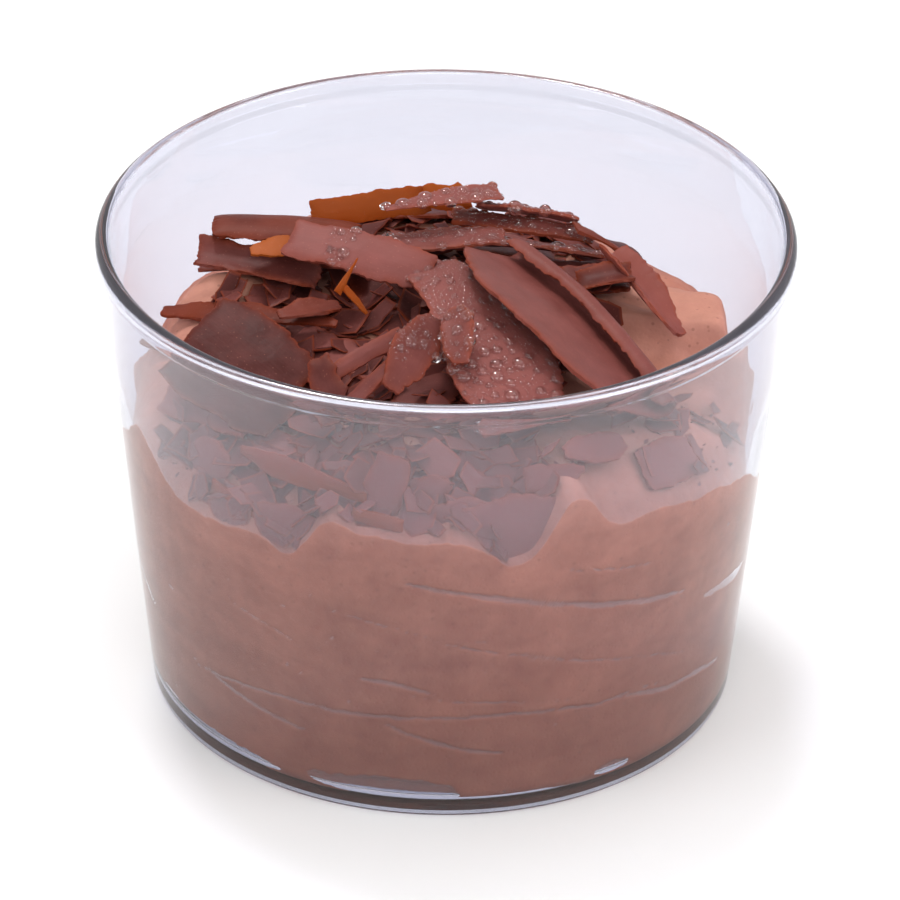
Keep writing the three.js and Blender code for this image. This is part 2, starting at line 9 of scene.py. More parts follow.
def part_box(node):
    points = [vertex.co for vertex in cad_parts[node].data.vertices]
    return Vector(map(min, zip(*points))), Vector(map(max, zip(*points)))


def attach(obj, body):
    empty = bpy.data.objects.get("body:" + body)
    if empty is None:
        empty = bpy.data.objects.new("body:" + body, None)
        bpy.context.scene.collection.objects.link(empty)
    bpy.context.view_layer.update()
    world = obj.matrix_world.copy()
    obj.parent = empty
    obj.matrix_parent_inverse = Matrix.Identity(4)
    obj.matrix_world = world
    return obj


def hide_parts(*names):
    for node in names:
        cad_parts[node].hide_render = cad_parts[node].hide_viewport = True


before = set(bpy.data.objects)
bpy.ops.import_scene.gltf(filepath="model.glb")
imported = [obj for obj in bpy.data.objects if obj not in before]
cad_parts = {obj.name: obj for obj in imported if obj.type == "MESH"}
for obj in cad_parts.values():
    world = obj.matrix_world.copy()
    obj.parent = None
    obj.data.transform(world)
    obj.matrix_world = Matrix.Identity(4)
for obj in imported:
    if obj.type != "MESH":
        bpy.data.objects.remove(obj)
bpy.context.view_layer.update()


# ---------- cup ----------
# The real cup is one injection moulding: thin, tapered and open, with a foot ring under it and a
# low collar below a rounded lip. It is clear general-purpose polystyrene, polished by the mould,
# and nothing is fixed to it: the mousse is poured in.

MM = 0.001
CUP_HEIGHT = 59.0
RIM_RADIUS = 41.0
BASE_RADIUS = 34.8
TAPER = 0.099
WALL = 1.3
FLOOR = 1.8
FOOT_CORNER = 0.9
FOOT_RING_WIDTH = 2.7
UNDERSIDE_RECESS = 0.6
COLLAR_HEIGHT = 2.7
LIP_ROUND_OUT = 1.05
LIP_ROUND_IN = 0.5
INNER_CORNER = 2.0
GATE_RADIUS = 1.6
CUP_SEGMENTS = 256


def inner_radius(z):
    return BASE_RADIUS + TAPER * z - WALL


def arc(middle_r, middle_z, radius, first, last, steps):
    """Points of a profile's round corner, angles in degrees."""
    turns = np.radians(np.linspace(first, last, steps + 1))
    return [(middle_r + radius * math.cos(t), middle_z + radius * math.sin(t)) for t in turns]


def in_scene(name, data):
    made = bpy.data.objects.new(name, data)
    bpy.context.scene.collection.objects.link(made)
    return made


def object_from(name, points_mm, faces):
    """A smooth-shaded mesh object at the origin, from points in millimetres."""
    mesh = bpy.data.meshes.new(name)
    mesh.from_pydata((np.asarray(points_mm) * MM).tolist(), [], faces)
    mesh.polygons.foreach_set("use_smooth", [True] * len(mesh.polygons))
    mesh.update()
    return in_scene(name, mesh)


def turned(name, profile, segments):
    """A closed turned solid: the profile runs from the axis below, outside, to the axis above."""
    turns = np.linspace(0, 2 * math.pi, segments, endpoint=False)
    points = [(0, 0, profile[0][1])]
    for r, z in profile[1:-1]:
        points += [(r * math.cos(t), r * math.sin(t), z) for t in turns]
    points.append((0, 0, profile[-1][1]))
    faces = []
    last = len(points) - 1
    rings = len(profile) - 2
    for i in range(segments):
        n = (i + 1) % segments
        faces.append((0, 1 + n, 1 + i))
        for k in range(rings - 1):
            low, high = 1 + k * segments, 1 + (k + 1) * segments
            faces.append((low + i, low + n, high + n, high + i))
        top = 1 + (rings - 1) * segments
        faces.append((top + i, top + n, last))
    return object_from(name, points, faces)


def linear(hex_colour, alpha=1.0):
    """An sRGB hex colour as linear RGBA."""
    rgb = [int(hex_colour[i : i + 2], 16) / 255 for i in (1, 3, 5)]
    return (*[c / 12.92 if c <= 0.04045 else ((c + 0.055) / 1.055) ** 2.4 for c in rgb], alpha)


def add_node(tree, kind, inputs=None, **settings):
    """Adds a node with its settings; an input is a value or another node's output."""
    made = tree.nodes.new(kind)
    for key, value in settings.items():
        setattr(made, key, value)
    for key, value in (inputs or {}).items():
        if isinstance(value, bpy.types.NodeSocket):
            tree.links.new(value, made.inputs[key])
        else:
            made.inputs[key].default_value = value
    return made


def new_material(name):
    made = bpy.data.materials.new(name)
    made.use_nodes = True
    made.node_tree.nodes.clear()
    return made, made.node_tree


def clear_surface(tree, surface, lamp_tint):
    """Ends a clear material: lamps shine through it in straight lines, tinted by lamp_tint."""
    lamp_path = add_node(tree, "ShaderNodeLightPath")
    lamp_side = add_node(tree, "ShaderNodeBsdfTransparent", {"Color": linear(lamp_tint)})
    both = add_node(
        tree,
        "ShaderNodeMixShader",
        {0: lamp_path.outputs["Is Shadow Ray"], 1: surface, 2: lamp_side.outputs[0]},
    )
    add_node(tree, "ShaderNodeOutputMaterial", {"Surface": both.outputs[0]})


def finish_piece(piece, material, replaced):
    piece.data.materials.clear()
    piece.data.materials.append(material)
    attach(piece, "root")
    if replaced:
        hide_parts(*replaced)


wall_at_collar = BASE_RADIUS + TAPER * (CUP_HEIGHT - COLLAR_HEIGHT)
collar_proud = RIM_RADIUS - wall_at_collar
foot_outer = BASE_RADIUS - FOOT_CORNER
recess_edge = foot_outer - FOOT_RING_WIDTH
corner_middle = inner_radius(FLOOR + INNER_CORNER) - INNER_CORNER
collar_foot = CUP_HEIGHT - COLLAR_HEIGHT
cup_profile = [
    (0, UNDERSIDE_RECESS),
    (GATE_RADIUS * 0.5, UNDERSIDE_RECESS),
    *arc(GATE_RADIUS, UNDERSIDE_RECESS, GATE_RADIUS * 0.2, 180, 0, 6),
    (recess_edge - 1.6 * UNDERSIDE_RECESS, UNDERSIDE_RECESS),
    (recess_edge - 1.1 * UNDERSIDE_RECESS, UNDERSIDE_RECESS * 0.9),
    (recess_edge - 0.3 * UNDERSIDE_RECESS, 0.08),
    (recess_edge + 0.2, 0),
    *arc(foot_outer, FOOT_CORNER, FOOT_CORNER, -90, 0, 8),
    (BASE_RADIUS + TAPER * 20, 20),
    (BASE_RADIUS + TAPER * 40, 40),
    (wall_at_collar, collar_foot - 0.15),
    (wall_at_collar + 0.06, collar_foot),
    (RIM_RADIUS - 0.1, collar_foot + collar_proud * 0.85),
    (RIM_RADIUS, collar_foot + collar_proud + 0.15),
    *arc(RIM_RADIUS - LIP_ROUND_OUT, CUP_HEIGHT - LIP_ROUND_OUT, LIP_ROUND_OUT, 0, 90, 12),
    *arc(
        inner_radius(CUP_HEIGHT) + LIP_ROUND_IN, CUP_HEIGHT - LIP_ROUND_IN, LIP_ROUND_IN, 90, 180, 8
    ),
    (inner_radius(40), 40),
    (inner_radius(20), 20),
    *arc(corner_middle, FLOOR + INNER_CORNER, INNER_CORNER, 0, -90, 8),
    (0, FLOOR),
]
cup = turned("clear_cup", cup_profile, CUP_SEGMENTS)

# Clear polystyrene, moulded in a polished tool: sharp reflections and slow ripples in the wall
# that bend the highlights; its faint lilac cast is painted, standing for grey-blue surroundings
# seen through it. Lamps reach the mousse through it. Above the mousse the cold wall is filmed with
# mist, too fine to see as drops; over the collar the mist is painted light.
MIST = 0.022
clear_plastic, tree = new_material("clear_moulded_polystyrene")
place = add_node(tree, "ShaderNodeTexCoord")
flow_scale = add_node(
    tree, "ShaderNodeMapping", {"Vector": place.outputs["Object"], "Scale": (1.0, 1.0, 0.35)}
)
ripples = add_node(
    tree,
    "ShaderNodeTexNoise",
    {"Vector": flow_scale.outputs[0], "Scale": 160.0, "Detail": 2.0},
)
ripple_bump = add_node(
    tree,
    "ShaderNodeBump",
    {"Height": ripples.outputs["Fac"], "Strength": 0.05, "Distance": 0.0004},
)
# Painted light: the lilac base colour and the lilac tint of the lamps let through stand for grey-blue
# surroundings seen through the glass.
body = add_node(
    tree,
    "ShaderNodeBsdfPrincipled",
    {
        "Base Color": linear("#DADBE7"),
        "Roughness": 0.01,
        "IOR": 1.59,
        "Transmission Weight": 1.0,
        "Normal": ripple_bump.outputs[0],
    },
)
height = add_node(tree, "ShaderNodeSeparateXYZ", {"Vector": place.outputs["Object"]})
mist_foot = add_node(
    tree,
    "ShaderNodeMapRange",
    {"Value": height.outputs["Z"], "From Min": 0.033, "From Max": 0.043, "To Max": MIST},
)
# Painted light: the mist runs on over the collar up to the lip, lightening the band below the lip.
mist_head_painted_collar_light = add_node(
    tree,
    "ShaderNodeMapRange",
    {"Value": height.outputs["Z"], "From Min": 0.0572, "From Max": 0.0586, "To Min": 1.0, "To Max": 0.0},
)
mist_drift = add_node(
    tree,
    "ShaderNodeTexNoise",
    {"Vector": flow_scale.outputs[0], "Scale": 90.0, "Detail": 4.0, "Roughness": 0.6},
)
mist_patch = add_node(
    tree,
    "ShaderNodeMapRange",
    {"Value": mist_drift.outputs["Fac"], "From Min": 0.3, "From Max": 0.7, "To Min": 0.5, "To Max": 1.2},
)
mist_band = add_node(
    tree, "ShaderNodeMath", {0: mist_foot.outputs[0], 1: mist_head_painted_collar_light.outputs[0]}, operation="MULTIPLY"
)
mist_share = add_node(
    tree, "ShaderNodeMath", {0: mist_band.outputs[0], 1: mist_patch.outputs[0]}, operation="MULTIPLY"
)
mist = add_node(tree, "ShaderNodeBsdfDiffuse", {"Color": linear("#F1E8F5")})
misted = add_node(
    tree,
    "ShaderNodeMixShader",
    {0: mist_share.outputs[0], 1: body.outputs[0], 2: mist.outputs[0]},
)
clear_surface(tree, misted.outputs[0], "#EFEFF7")
finish_piece(cup, clear_plastic, ["cup"])


# ---------- mousse ----------
# The real filling is whipped chocolate mousse, spooned in so that it stands above the wall line
# in the middle. It sticks to the plastic, except where it folded over and trapped thin pockets of
# air, which show as pale or dark creases.

MOUND_TOP = 48.1
WALL_LINE = 37.5
RAMP_FRONT = 0.27
RAMP_SIDE = 0.11
INTO_WALL = 0.1
FRONT_COLUMNS = 330
BACK_COLUMNS = 110
WALL_ROWS = 138
WALL_SMEARS = [
    (-96, -8, 13),
    (-67, 3.8, 6),
    (-50, -2, 7),
    (-40, -1.5, 5),
    (-28, -2.6, 5.5),
    (-20, 3.4, 5),
    (-11, 2.2, 6),
    (3, 2.0, 9),
    (13, -2.4, 5),
    (24, 6.4, 5.5),
    (40, 1.6, 8),
    (90, -9.5, 20),
    (125, 2, 16),
    (165, -2, 14),
    (205, 4, 16),
    (235, 1.5, 10),
]
SPOONFULS = [
    (29, 1, 3, 7),
    (19, 0, 2, 6),
    (25, -12, 0.8, 5),
    (-27, 4, 3, 6),
    (-19, -8, -2, 7),
    (1, 8, 0.6, 11),
    (27, 17, -5, 10),
    (-27, 17, -5, 9),
    (-3, -27, 1.5, 6),
    (8, 27, 1.5, 8),
]
# Air trapped against the wall: start, middle and end as azimuth from the front and height, then
# half width and depth in millimetres.
AIR_CREASES = [
    ((-7, 33.6), (18, 30.2), (50, 24.6), 0.42, 0.5),
    ((21, 34.8), (31, 33.1), (41, 31.8), 0.16, 0.3),
    ((57, 22.0), (64, 20.6), (76, 19.6), 0.7, 0.5),
    ((-3, 25.8), (22, 21.6), (54, 15.0), 0.16, 0.3),
    ((-6, 17.4), (8, 16.4), (25, 15.1), 0.16, 0.28),
    ((-55, 12.0), (-18, 14.1), (46, 12.7), 0.24, 0.4),
    ((36, 13.1), (48, 11.4), (68, 9.4), 0.4, 0.4),
    ((-11, 13.4), (1, 10.4), (12, 8.6), 0.32, 0.4),
    ((-50, 12.6), (-40, 11.1), (-26, 9.8), 0.3, 0.4),
    ((-15, 19.4), (-8, 18.7), (-1, 17.7), 0.4, 0.35),
    ((-42, 25.0), (-35, 24.0), (-28, 22.8), 0.14, 0.25),
    ((-25, 29.0), (-13, 27.4), (0, 25.6), 0.14, 0.25),
    ((100, 22), (130, 26), (170, 21), 0.4, 0.5),
    ((150, 12), (190, 15), (235, 11), 0.3, 0.4),
    ((200, 30), (225, 27), (260, 29), 0.3, 0.4),
    ((250, 16), (270, 18), (290, 15), 0.3, 0.4),
]
# Larger hollows where the mousse never reached the corner of the floor: azimuth, height, half
# length in degrees, half height and depth in millimetres.
AIR_HOLLOWS = [
    (-58, 2.6, 26, 1.3, 1.2),
    (-10, 3.2, 15, 1.9, 1.3),
    (36, 3.0, 4, 0.8, 0.9),
    (4, 1.9, 24, 0.7, 0.8),
    (120, 2.6, 20, 1.2, 1.0),
    (215, 2.8, 24, 1.4, 1.0),
]


def smooth_noise(points, size, seed):
    """Value noise from -1 to 1 at points in millimetres, its lumps about size across."""
    scaled = np.asarray(points, float) / size + 11.7 * seed
    cell = np.floor(scaled).astype(np.int64)
    part = scaled - cell
    part = part * part * (3 - 2 * part)
    total = np.zeros(len(scaled))
    for corner in np.ndindex(2, 2, 2):
        at = cell + corner
        mixed = at[:, 0] * 73856093 ^ at[:, 1] * 19349663 ^ at[:, 2] * 83492791 ^ seed * 7919
        mixed = (mixed ^ (mixed >> 13)) * 1274126177 & 0xFFFFFFFF
        mixed = (mixed ^ (mixed >> 16)) * 2246822519 & 0xFFFFFFFF
        share = np.prod(np.where(corner, part, 1 - part), axis=1)
        total += ((mixed >> 8) % 65536 / 32767.5 - 1) * share
    return total


def layered_noise(points, size, seed, layers=3, falloff=0.5):
    return sum(
        falloff**k * smooth_noise(points, size / 2**k, seed + k) for k in range(layers)
    ) / sum(falloff**k for k in range(layers))


def bump(distance, spread):
    return np.exp(-((distance / spread) ** 2))


def step_up(distance, spread):
    return 0.5 + 0.5 * np.tanh(distance / spread)


def round_trip(azimuth):
    return (azimuth + 180) % 360 - 180


def wall_line(azimuth):
    """Height at which the mousse meets the wall, ragged where the spoon dragged it."""
    height = np.full(len(azimuth), WALL_LINE)
    for middle, rise, spread in WALL_SMEARS:
        height += rise * bump(round_trip(azimuth - middle), spread)
    turn = np.radians(azimuth)
    on_wall = np.stack([38 * np.cos(turn), 38 * np.sin(turn), 0 * turn], 1)
    return height + 0.55 * layered_noise(on_wall, 4.5, 3) + 0.22 * smooth_noise(on_wall, 0.8, 9)


def mousse_top(x, y, share, edge):
    """Height of the mousse inside the wall line, with the folds left by the spoon."""
    azimuth = np.degrees(np.arctan2(x, -y))
    ramp = RAMP_FRONT + (RAMP_SIDE - RAMP_FRONT) * np.sin(np.radians(azimuth)) ** 2
    height = edge + (MOUND_TOP - edge) * np.tanh((1 - share) / ramp)
    for middle_x, middle_y, rise, spread in SPOONFULS:
        gone = 1 - share**8
        height += gone * rise * bump(np.hypot(x - middle_x, y - middle_y), spread)
    torn = 0.35 * layered_noise(np.stack([x, y, 0 * x], 1), 1.6, 71, 3, 0.6)
    lump = step_up(y + 3.2 + 0.05 * (x - 24) + torn, 0.3) * step_up(x - 16, 1.5)
    lump *= step_up(33.3 - np.hypot(x, y), 0.5) * step_up(4.6 - y + torn, 0.7)
    height += lump * (49.6 - 0.1 * (x - 24) - height)
    scoop = step_up(-3.9 - 0.05 * (x - 24) - y, 0.5) * step_up(x - 16, 2) * bump(y + 8, 7)
    height -= 4.2 * scoop * step_up(34 - np.hypot(x, y), 0.8)
    ridge = bump(y - 2.4 - 0.12 * (x + 26), 1.9) * step_up(-20 - x, 1.5)
    height += 1.6 * ridge * step_up(33.5 - np.hypot(x, y), 0.6)
    place = np.stack([x, y, 0 * x], 1)
    drift = 2.2 * np.stack([smooth_noise(place, 7, 21), smooth_noise(place, 7, 22), 0 * x], 1)
    folds = 1 - 2 * np.abs(smooth_noise((place + drift) * (1, 2.2, 1), 6, 23))
    height += np.minimum(1, 12 * (1 - share)) * (
        0.3 * folds + 0.2 * layered_noise(place, 2.4, 31, 4, 0.65)
    )
    return height


def crease_depth(azimuth, z):
    """How far the trapped air pushes the mousse in from the wall, in millimetres."""
    depth = np.zeros(len(z))
    for start, middle, end, half_width, deep in AIR_CREASES:
        along = round_trip(azimuth - start[0]) / (end[0] - start[0])
        inside = (along > 0) & (along < 1)
        knee = (middle[0] - start[0]) / (end[0] - start[0])
        bow = middle[1] - (start[1] + (end[1] - start[1]) * knee)
        line = start[1] + (end[1] - start[1]) * along
        line += bow * along * (1 - along) / (knee * (1 - knee))
        place = np.stack([azimuth * 0.66, 0 * z, z], 1)
        wander = 0.5 * smooth_noise(place, 6, 41) + 0.16 * smooth_noise(place, 1.2, 42)
        swell = 0.55 + 0.45 * smooth_noise(place, 2.6, 43)
        width = half_width * (0.35 + swell) * np.sqrt(np.clip(4 * along * (1 - along), 0, 1))
        near = np.clip(1 - np.abs(z - line - wander) / np.maximum(width, 0.02), 0, 1)
        depth = np.maximum(depth, np.where(inside, deep * near**0.7, 0))
    for middle, height, half_length, half_height, deep in AIR_HOLLOWS:
        place = np.stack([azimuth * 0.66, 0 * z, z], 1)
        off = np.hypot(round_trip(azimuth - middle) / half_length, (z - height) / half_height)
        off += 0.3 * layered_noise(place, 3, 51)
        depth = np.maximum(depth, deep * np.clip(1.3 * (1 - off), 0, 1) ** 0.6)
    specks = layered_noise(np.stack([azimuth * 0.66, 0 * z, z], 1), 0.9, 61, 2)
    return np.maximum(depth, 0.3 * np.clip((specks - 0.62) / 0.2, 0, 1))


def mousse_mesh():
    azimuths = np.concatenate(
        [
            np.linspace(-92, 92, FRONT_COLUMNS, endpoint=False),
            np.linspace(92, 268, BACK_COLUMNS, endpoint=False),
        ]
    )
    out = np.stack([np.sin(np.radians(azimuths)), -np.cos(np.radians(azimuths))], 1)
    columns = len(azimuths)
    rings = []

    def ring(r, z):
        across = out * np.reshape(r, (-1, 1)) * np.ones((columns, 1))
        rings.append(np.column_stack([across, z + np.zeros(columns)]))

    low = FLOOR - INTO_WALL
    for share in (0.3, 0.6, 0.8, 0.92):
        ring((corner_middle) * share, low)
    corner_z = FLOOR + INNER_CORNER
    for turn in np.radians(np.linspace(-90, 0, 14)):
        z = corner_z + (INNER_CORNER + INTO_WALL) * math.sin(turn) + np.zeros(columns)
        inset = crease_depth(azimuths, z)
        reach = (INNER_CORNER + INTO_WALL) * math.cos(turn)
        ring(corner_middle + reach - inset * math.cos(turn / 2), z + inset * 0.3)
    line = wall_line(azimuths)
    for k in range(1, WALL_ROWS + 1):
        z = corner_z + (line - corner_z) * (k / WALL_ROWS)
        fade = min(1.0, (WALL_ROWS - k) / 6)
        ring(inner_radius(z) + INTO_WALL * (0.4 + 0.6 * fade) - fade * crease_depth(azimuths, z), z)
    edge_radius = inner_radius(line) + 0.4 * INTO_WALL
    for share in 1 - np.linspace(0, 1, 62)[1:-1] ** 1.55:
        x, y = (edge_radius * share)[:, None].T * out.T
        z = mousse_top(x, y, np.full(columns, share), line)
        rings.append(np.column_stack([x, y, z]))
    points = np.concatenate([[[0, 0, low]], *rings, [[0, 0, rings[-1][:, 2].mean()]]])
    faces = []
    last = len(points) - 1
    for i in range(columns):
        n = (i + 1) % columns
        faces.append((0, 1 + n, 1 + i))
        for k in range(len(rings) - 1):
            below, above = 1 + k * columns, 1 + (k + 1) * columns
            faces.append((below + i, below + n, above + n, above + i))
        top = 1 + (len(rings) - 1) * columns
        faces.append((top + i, top + n, last))
    return object_from("chocolate_mousse", points, faces)


mousse = mousse_mesh()

# Chocolate mousse, whipped and set: matt, finely pored, milk-chocolate brown with a little pink,
# dotted with pores and cocoa grains of 0.1 to 0.4 mm. It is painted darker towards the foot
# (painted shade) and paler on top (painted light), as the light falls from above.
whipped, tree = new_material("whipped_chocolate_mousse")
place = add_node(tree, "ShaderNodeTexCoord")
clouds = add_node(
    tree,
    "ShaderNodeTexNoise",
    {"Vector": place.outputs["Object"], "Scale": 210.0, "Detail": 8.0, "Roughness": 0.68},
)
spooned_way = add_node(
    tree, "ShaderNodeMapping", {"Vector": place.outputs["Object"], "Scale": (1.0, 1.0, 5.0)}
)
spooned = add_node(
    tree,
    "ShaderNodeTexNoise",
    {"Vector": spooned_way.outputs[0], "Scale": 55.0, "Detail": 4.0, "Distortion": 0.8},
)
swirl = add_node(
    tree,
    "ShaderNodeMath",
    {0: spooned.outputs["Fac"], 1: 0.45, 2: -0.22},
    operation="MULTIPLY_ADD",
)
mixed_in = add_node(tree, "ShaderNodeMath", {0: clouds.outputs["Fac"], 1: swirl.outputs[0]})
tone = add_node(tree, "ShaderNodeValToRGB", {"Fac": mixed_in.outputs[0]})
tone.color_ramp.elements[0].position = 0.3
tone.color_ramp.elements[0].color = linear("#9C5A47")
tone.color_ramp.elements[1].position = 0.72
tone.color_ramp.elements[1].color = linear("#BD7962")
pores = add_node(tree, "ShaderNodeTexVoronoi", {"Vector": place.outputs["Object"], "Scale": 1500.0})
pore_depth = add_node(
    tree,
    "ShaderNodeMapRange",
    {"Value": pores.outputs["Distance"], "From Min": 0.12, "From Max": 0.42, "To Min": 0.0},
)
grain = add_node(tree, "ShaderNodeTexVoronoi", {"Vector": place.outputs["Object"], "Scale": 620.0})
grain_mask = add_node(
    tree,
    "ShaderNodeMapRange",
    {"Value": grain.outputs["Distance"], "From Min": 0.08, "From Max": 0.15, "To Min": 0.4, "To Max": 0.0},
)
height = add_node(tree, "ShaderNodeSeparateXYZ", {"Vector": place.outputs["Object"]})
# Painted shade: the mousse is darkened towards the foot, where less light reaches it.
painted_foot_shade = add_node(
    tree,
    "ShaderNodeMapRange",
    {"Value": height.outputs["Z"], "From Min": 0.006, "From Max": 0.036, "To Min": 0.42, "To Max": 0.0},
)
# Painted light: the top of the mousse is paled where the light falls on it.
painted_top_light = add_node(
    tree,
    "ShaderNodeMapRange",
    {"Value": height.outputs["Z"], "From Min": 0.038, "From Max": 0.048, "To Max": 0.3},
)
colour = tone.outputs["Color"]
for share, tint in ((painted_top_light, "#D8A592"), (painted_foot_shade, "#643321"), (grain_mask, "#71402F")):
    inputs = {0: share.outputs[0], 6: colour, 7: linear(tint)}
    colour = add_node(tree, "ShaderNodeMix", inputs, data_type="RGBA").outputs[2]
foam_bump = add_node(
    tree,
    "ShaderNodeBump",
    {"Height": pore_depth.outputs[0], "Strength": 0.2, "Distance": 0.00012},
)
soft_bump = add_node(
    tree,
    "ShaderNodeBump",
    {
        "Height": clouds.outputs["Fac"],
        "Strength": 0.3,
        "Distance": 0.0005,
        "Normal": foam_bump.outputs[0],
    },
)
body = add_node(
    tree,
    "ShaderNodeBsdfPrincipled",
    {"Base Color": colour, "Roughness": 0.62, "IOR": 1.4, "Normal": soft_bump.outputs[0]},
)
add_node(tree, "ShaderNodeOutputMaterial", {"Surface": body.outputs[0]})
finish_piece(mousse, whipped, ["mousse"])


# ---------- shavings ----------
# The real ones are scraped from a block of dark couverture with a blade: thin strips, curled or
# broken, with fine drag lines along their length and ragged edges so thin that light reddens
# them. They lie loose where they fell.

FINE_CELLS_FROM = 9.5
RIM_ANGLE = 0.95
EDGE_REACH = 1.5
JAG = 0.5
FEATHER_WIDTH = 0.55
WALL_CLEARANCE = 0.12
RIM_GLOW = 0.42
# How strongly light glows through a piece, where it isn't none.
GLOW = {
    "left_amber_leaf": 0.15,
    "amber_bit": 0.9,
    "amber_stick": 1.0,
    "rear_amber": 1.0,
    "rear_amber_tip": 1.0,
    "fold": 0.15,
    "left_splinter": 0.35,
    "left_roll_high": 0.3,
    "wall_long": 0.85,
    "wall_red_edge": 1.0,
    "wall_red_stick": 1.0,
    "rear_spike": 0.3,
    "left_curl": 0.2,
}
# How light a piece is painted, from 0 to about 1, where it isn't left to chance: partly its own
# tone, partly painted sheen (the wet, lit pieces lighter and more mauve) and painted shade (the
# pieces by the gaps at the left darker).
PIECE_TONE_AND_PAINTED_LIGHT = {
    "left_plate": 0.08,
    "left_roll_high": 0.2,
    "left_splinter": 0.15,
    "left_curl": 0.3,
    "arm": 0.85,
    "tongue": 1.0,
    "boat": 0.7,
    "long_leaf": 0.45,
    "right_plate": 0.7,
    "rear_flat": 1.1,
    "rear_taper": 1.0,
    "crest_flake": 0.7,
}
# Tone of the flakes pressed to the front wall: painted light, lighter as if lit through the wall.
WALL_PAINTED_LIGHT_TONE = 1.1
# Pieces that settled off their CAD place: right, back and up in millimetres, then the lean of the
# far edge upwards in degrees and the growth about the middle.
SETTLED = {
    "wall_big": (0.3, 0.4, -3.2, 0, 1.15),
    "wall_round": (0.0, 0.4, -3.6, 0, 1.2),
    "wall_middle": (1.2, 0.2, -1.7, 0, 1.2),
    "wall_upright": (1.0, 0.2, -1.3, 0, 1.2),
    "wall_grey": (1.6, 0.2, 0, 0, 1.2),
    "wall_long": (1.0, 0.1, -0.8, 0, 1.1),
    "wall_left_upper": (-1.2, 0.2, 0, 0, 1.1),
    "rear_amber": (0, 0, 2.8, 0, 1.1),
    "rear_amber_tip": (0.5, 0, 3.4, 0, 1.2),
    "crest_flake": (0, 0, 2.4, 0, 1.0),
    "arm": (0, 0, 2.2, 0, 1.1),
    "gap_flake": (0, 0, 2.6, 0, 1.0),
    "front_flake": (0, 0, 2.4, 0, 1.0),
    "right_roll_low": (0, 0, 3.0, 0, 1.0),
    "amber_bit": (0.6, 0, 2.4, 0, 0.6),
    "amber_stick": (-0.4, 0, 1.4, 0, 0.8),
    "left_plate": (-1.6, 0, 1.3, 20, 1.05),
    "left_roll_high": (1.6, 0, 1.0, 28, 1.25),
    "left_amber_leaf": (1.2, 0, 0.6, 0, 0.95),
    "right_plate": (0.5, 0, 0.2, 0, 1.12),
}
AMBER_SLOT = ("left_amber_leaf", "amber_bit", "amber_stick", "rear_amber", "rear_amber_tip")


def values_of(items, attribute, width=1, kind=float):
    """One attribute of all vertices, faces or loops."""
    values = np.zeros(width * len(items), kind)
    items.foreach_get(attribute, values)
    return values.reshape(-1, width) if width > 1 else values


def places_mm(mesh):
    return values_of(mesh.vertices, "co", 3) / MM


def add_point_values(mesh, name, values):
    layer = mesh.attributes.new(name, "FLOAT", "POINT")
    layer.data.foreach_set("value", values)


def smooth_copy(node_name):
    """A finely divided copy of a CAD shaving. Face mark 0 is the rim, 1 and 2 the two faces."""
    work = bmesh.new()
    work.from_mesh(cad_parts[node_name].data)
    bmesh.ops.remove_doubles(work, verts=work.verts, dist=2e-6)
    bmesh.ops.join_triangles(
        work, faces=work.faces, angle_face_threshold=0.6, angle_shape_threshold=math.pi
    )
    crease = work.edges.layers.float.new("crease_edge")
    sharp = {e for e in work.edges if len(e.link_faces) == 2 and e.calc_face_angle() > RIM_ANGLE}
    for e in sharp:
        e[crease] = 1.0
    groups = []
    left = set(work.faces)
    while left:
        group = [left.pop()]
        for face in group:
            for e in face.edges:
                for other in e.link_faces:
                    if e not in sharp and other in left:
                        left.remove(other)
                        group.append(other)
        groups.append(group)
    groups.sort(key=lambda g: -sum(f.calc_area() for f in g))
    for k, group in enumerate(groups):
        for face in group:
            face.material_index = k + 1 if k < 2 else 0
            face.smooth = True
    mesh = bpy.data.meshes.new(node_name)
    work.to_mesh(mesh)
    work.free()
    for _ in range(3):
        mesh.materials.append(None)
    coarse = in_scene(node_name + "_coarse", mesh)
    low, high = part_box(node_name)
    long_piece = max(high - low) > FINE_CELLS_FROM * MM
    divide = coarse.modifiers.new("divide", "SUBSURF")
    divide.levels = divide.render_levels = (4 if long_piece else 3) - 0
    view = bpy.context.evaluated_depsgraph_get()
    fine = bpy.data.meshes.new_from_object(coarse.evaluated_get(view))
    bpy.data.objects.remove(coarse)
    return fine


def inside_wall(points_mm):
    """Points kept clear of the cup's inner face, as a flake pressed against it bends."""
    r = np.hypot(points_mm[:, 0], points_mm[:, 1])
    limit = inner_radius(points_mm[:, 2]) - WALL_CLEARANCE
    points_mm[:, :2] *= np.minimum(1, limit / np.maximum(r, 1e-6))[:, None]
    return points_mm


def nearest(tree_points, points):
    """Index of and distance to the nearest of tree_points, for each point."""
    tree = kdtree.KDTree(len(tree_points))
    for i, p in enumerate(tree_points):
        tree.insert(p, i)
    tree.balance()
    found = [tree.find(p) for p in points]
    return np.array([f[1] for f in found]), np.array([f[2] for f in found])


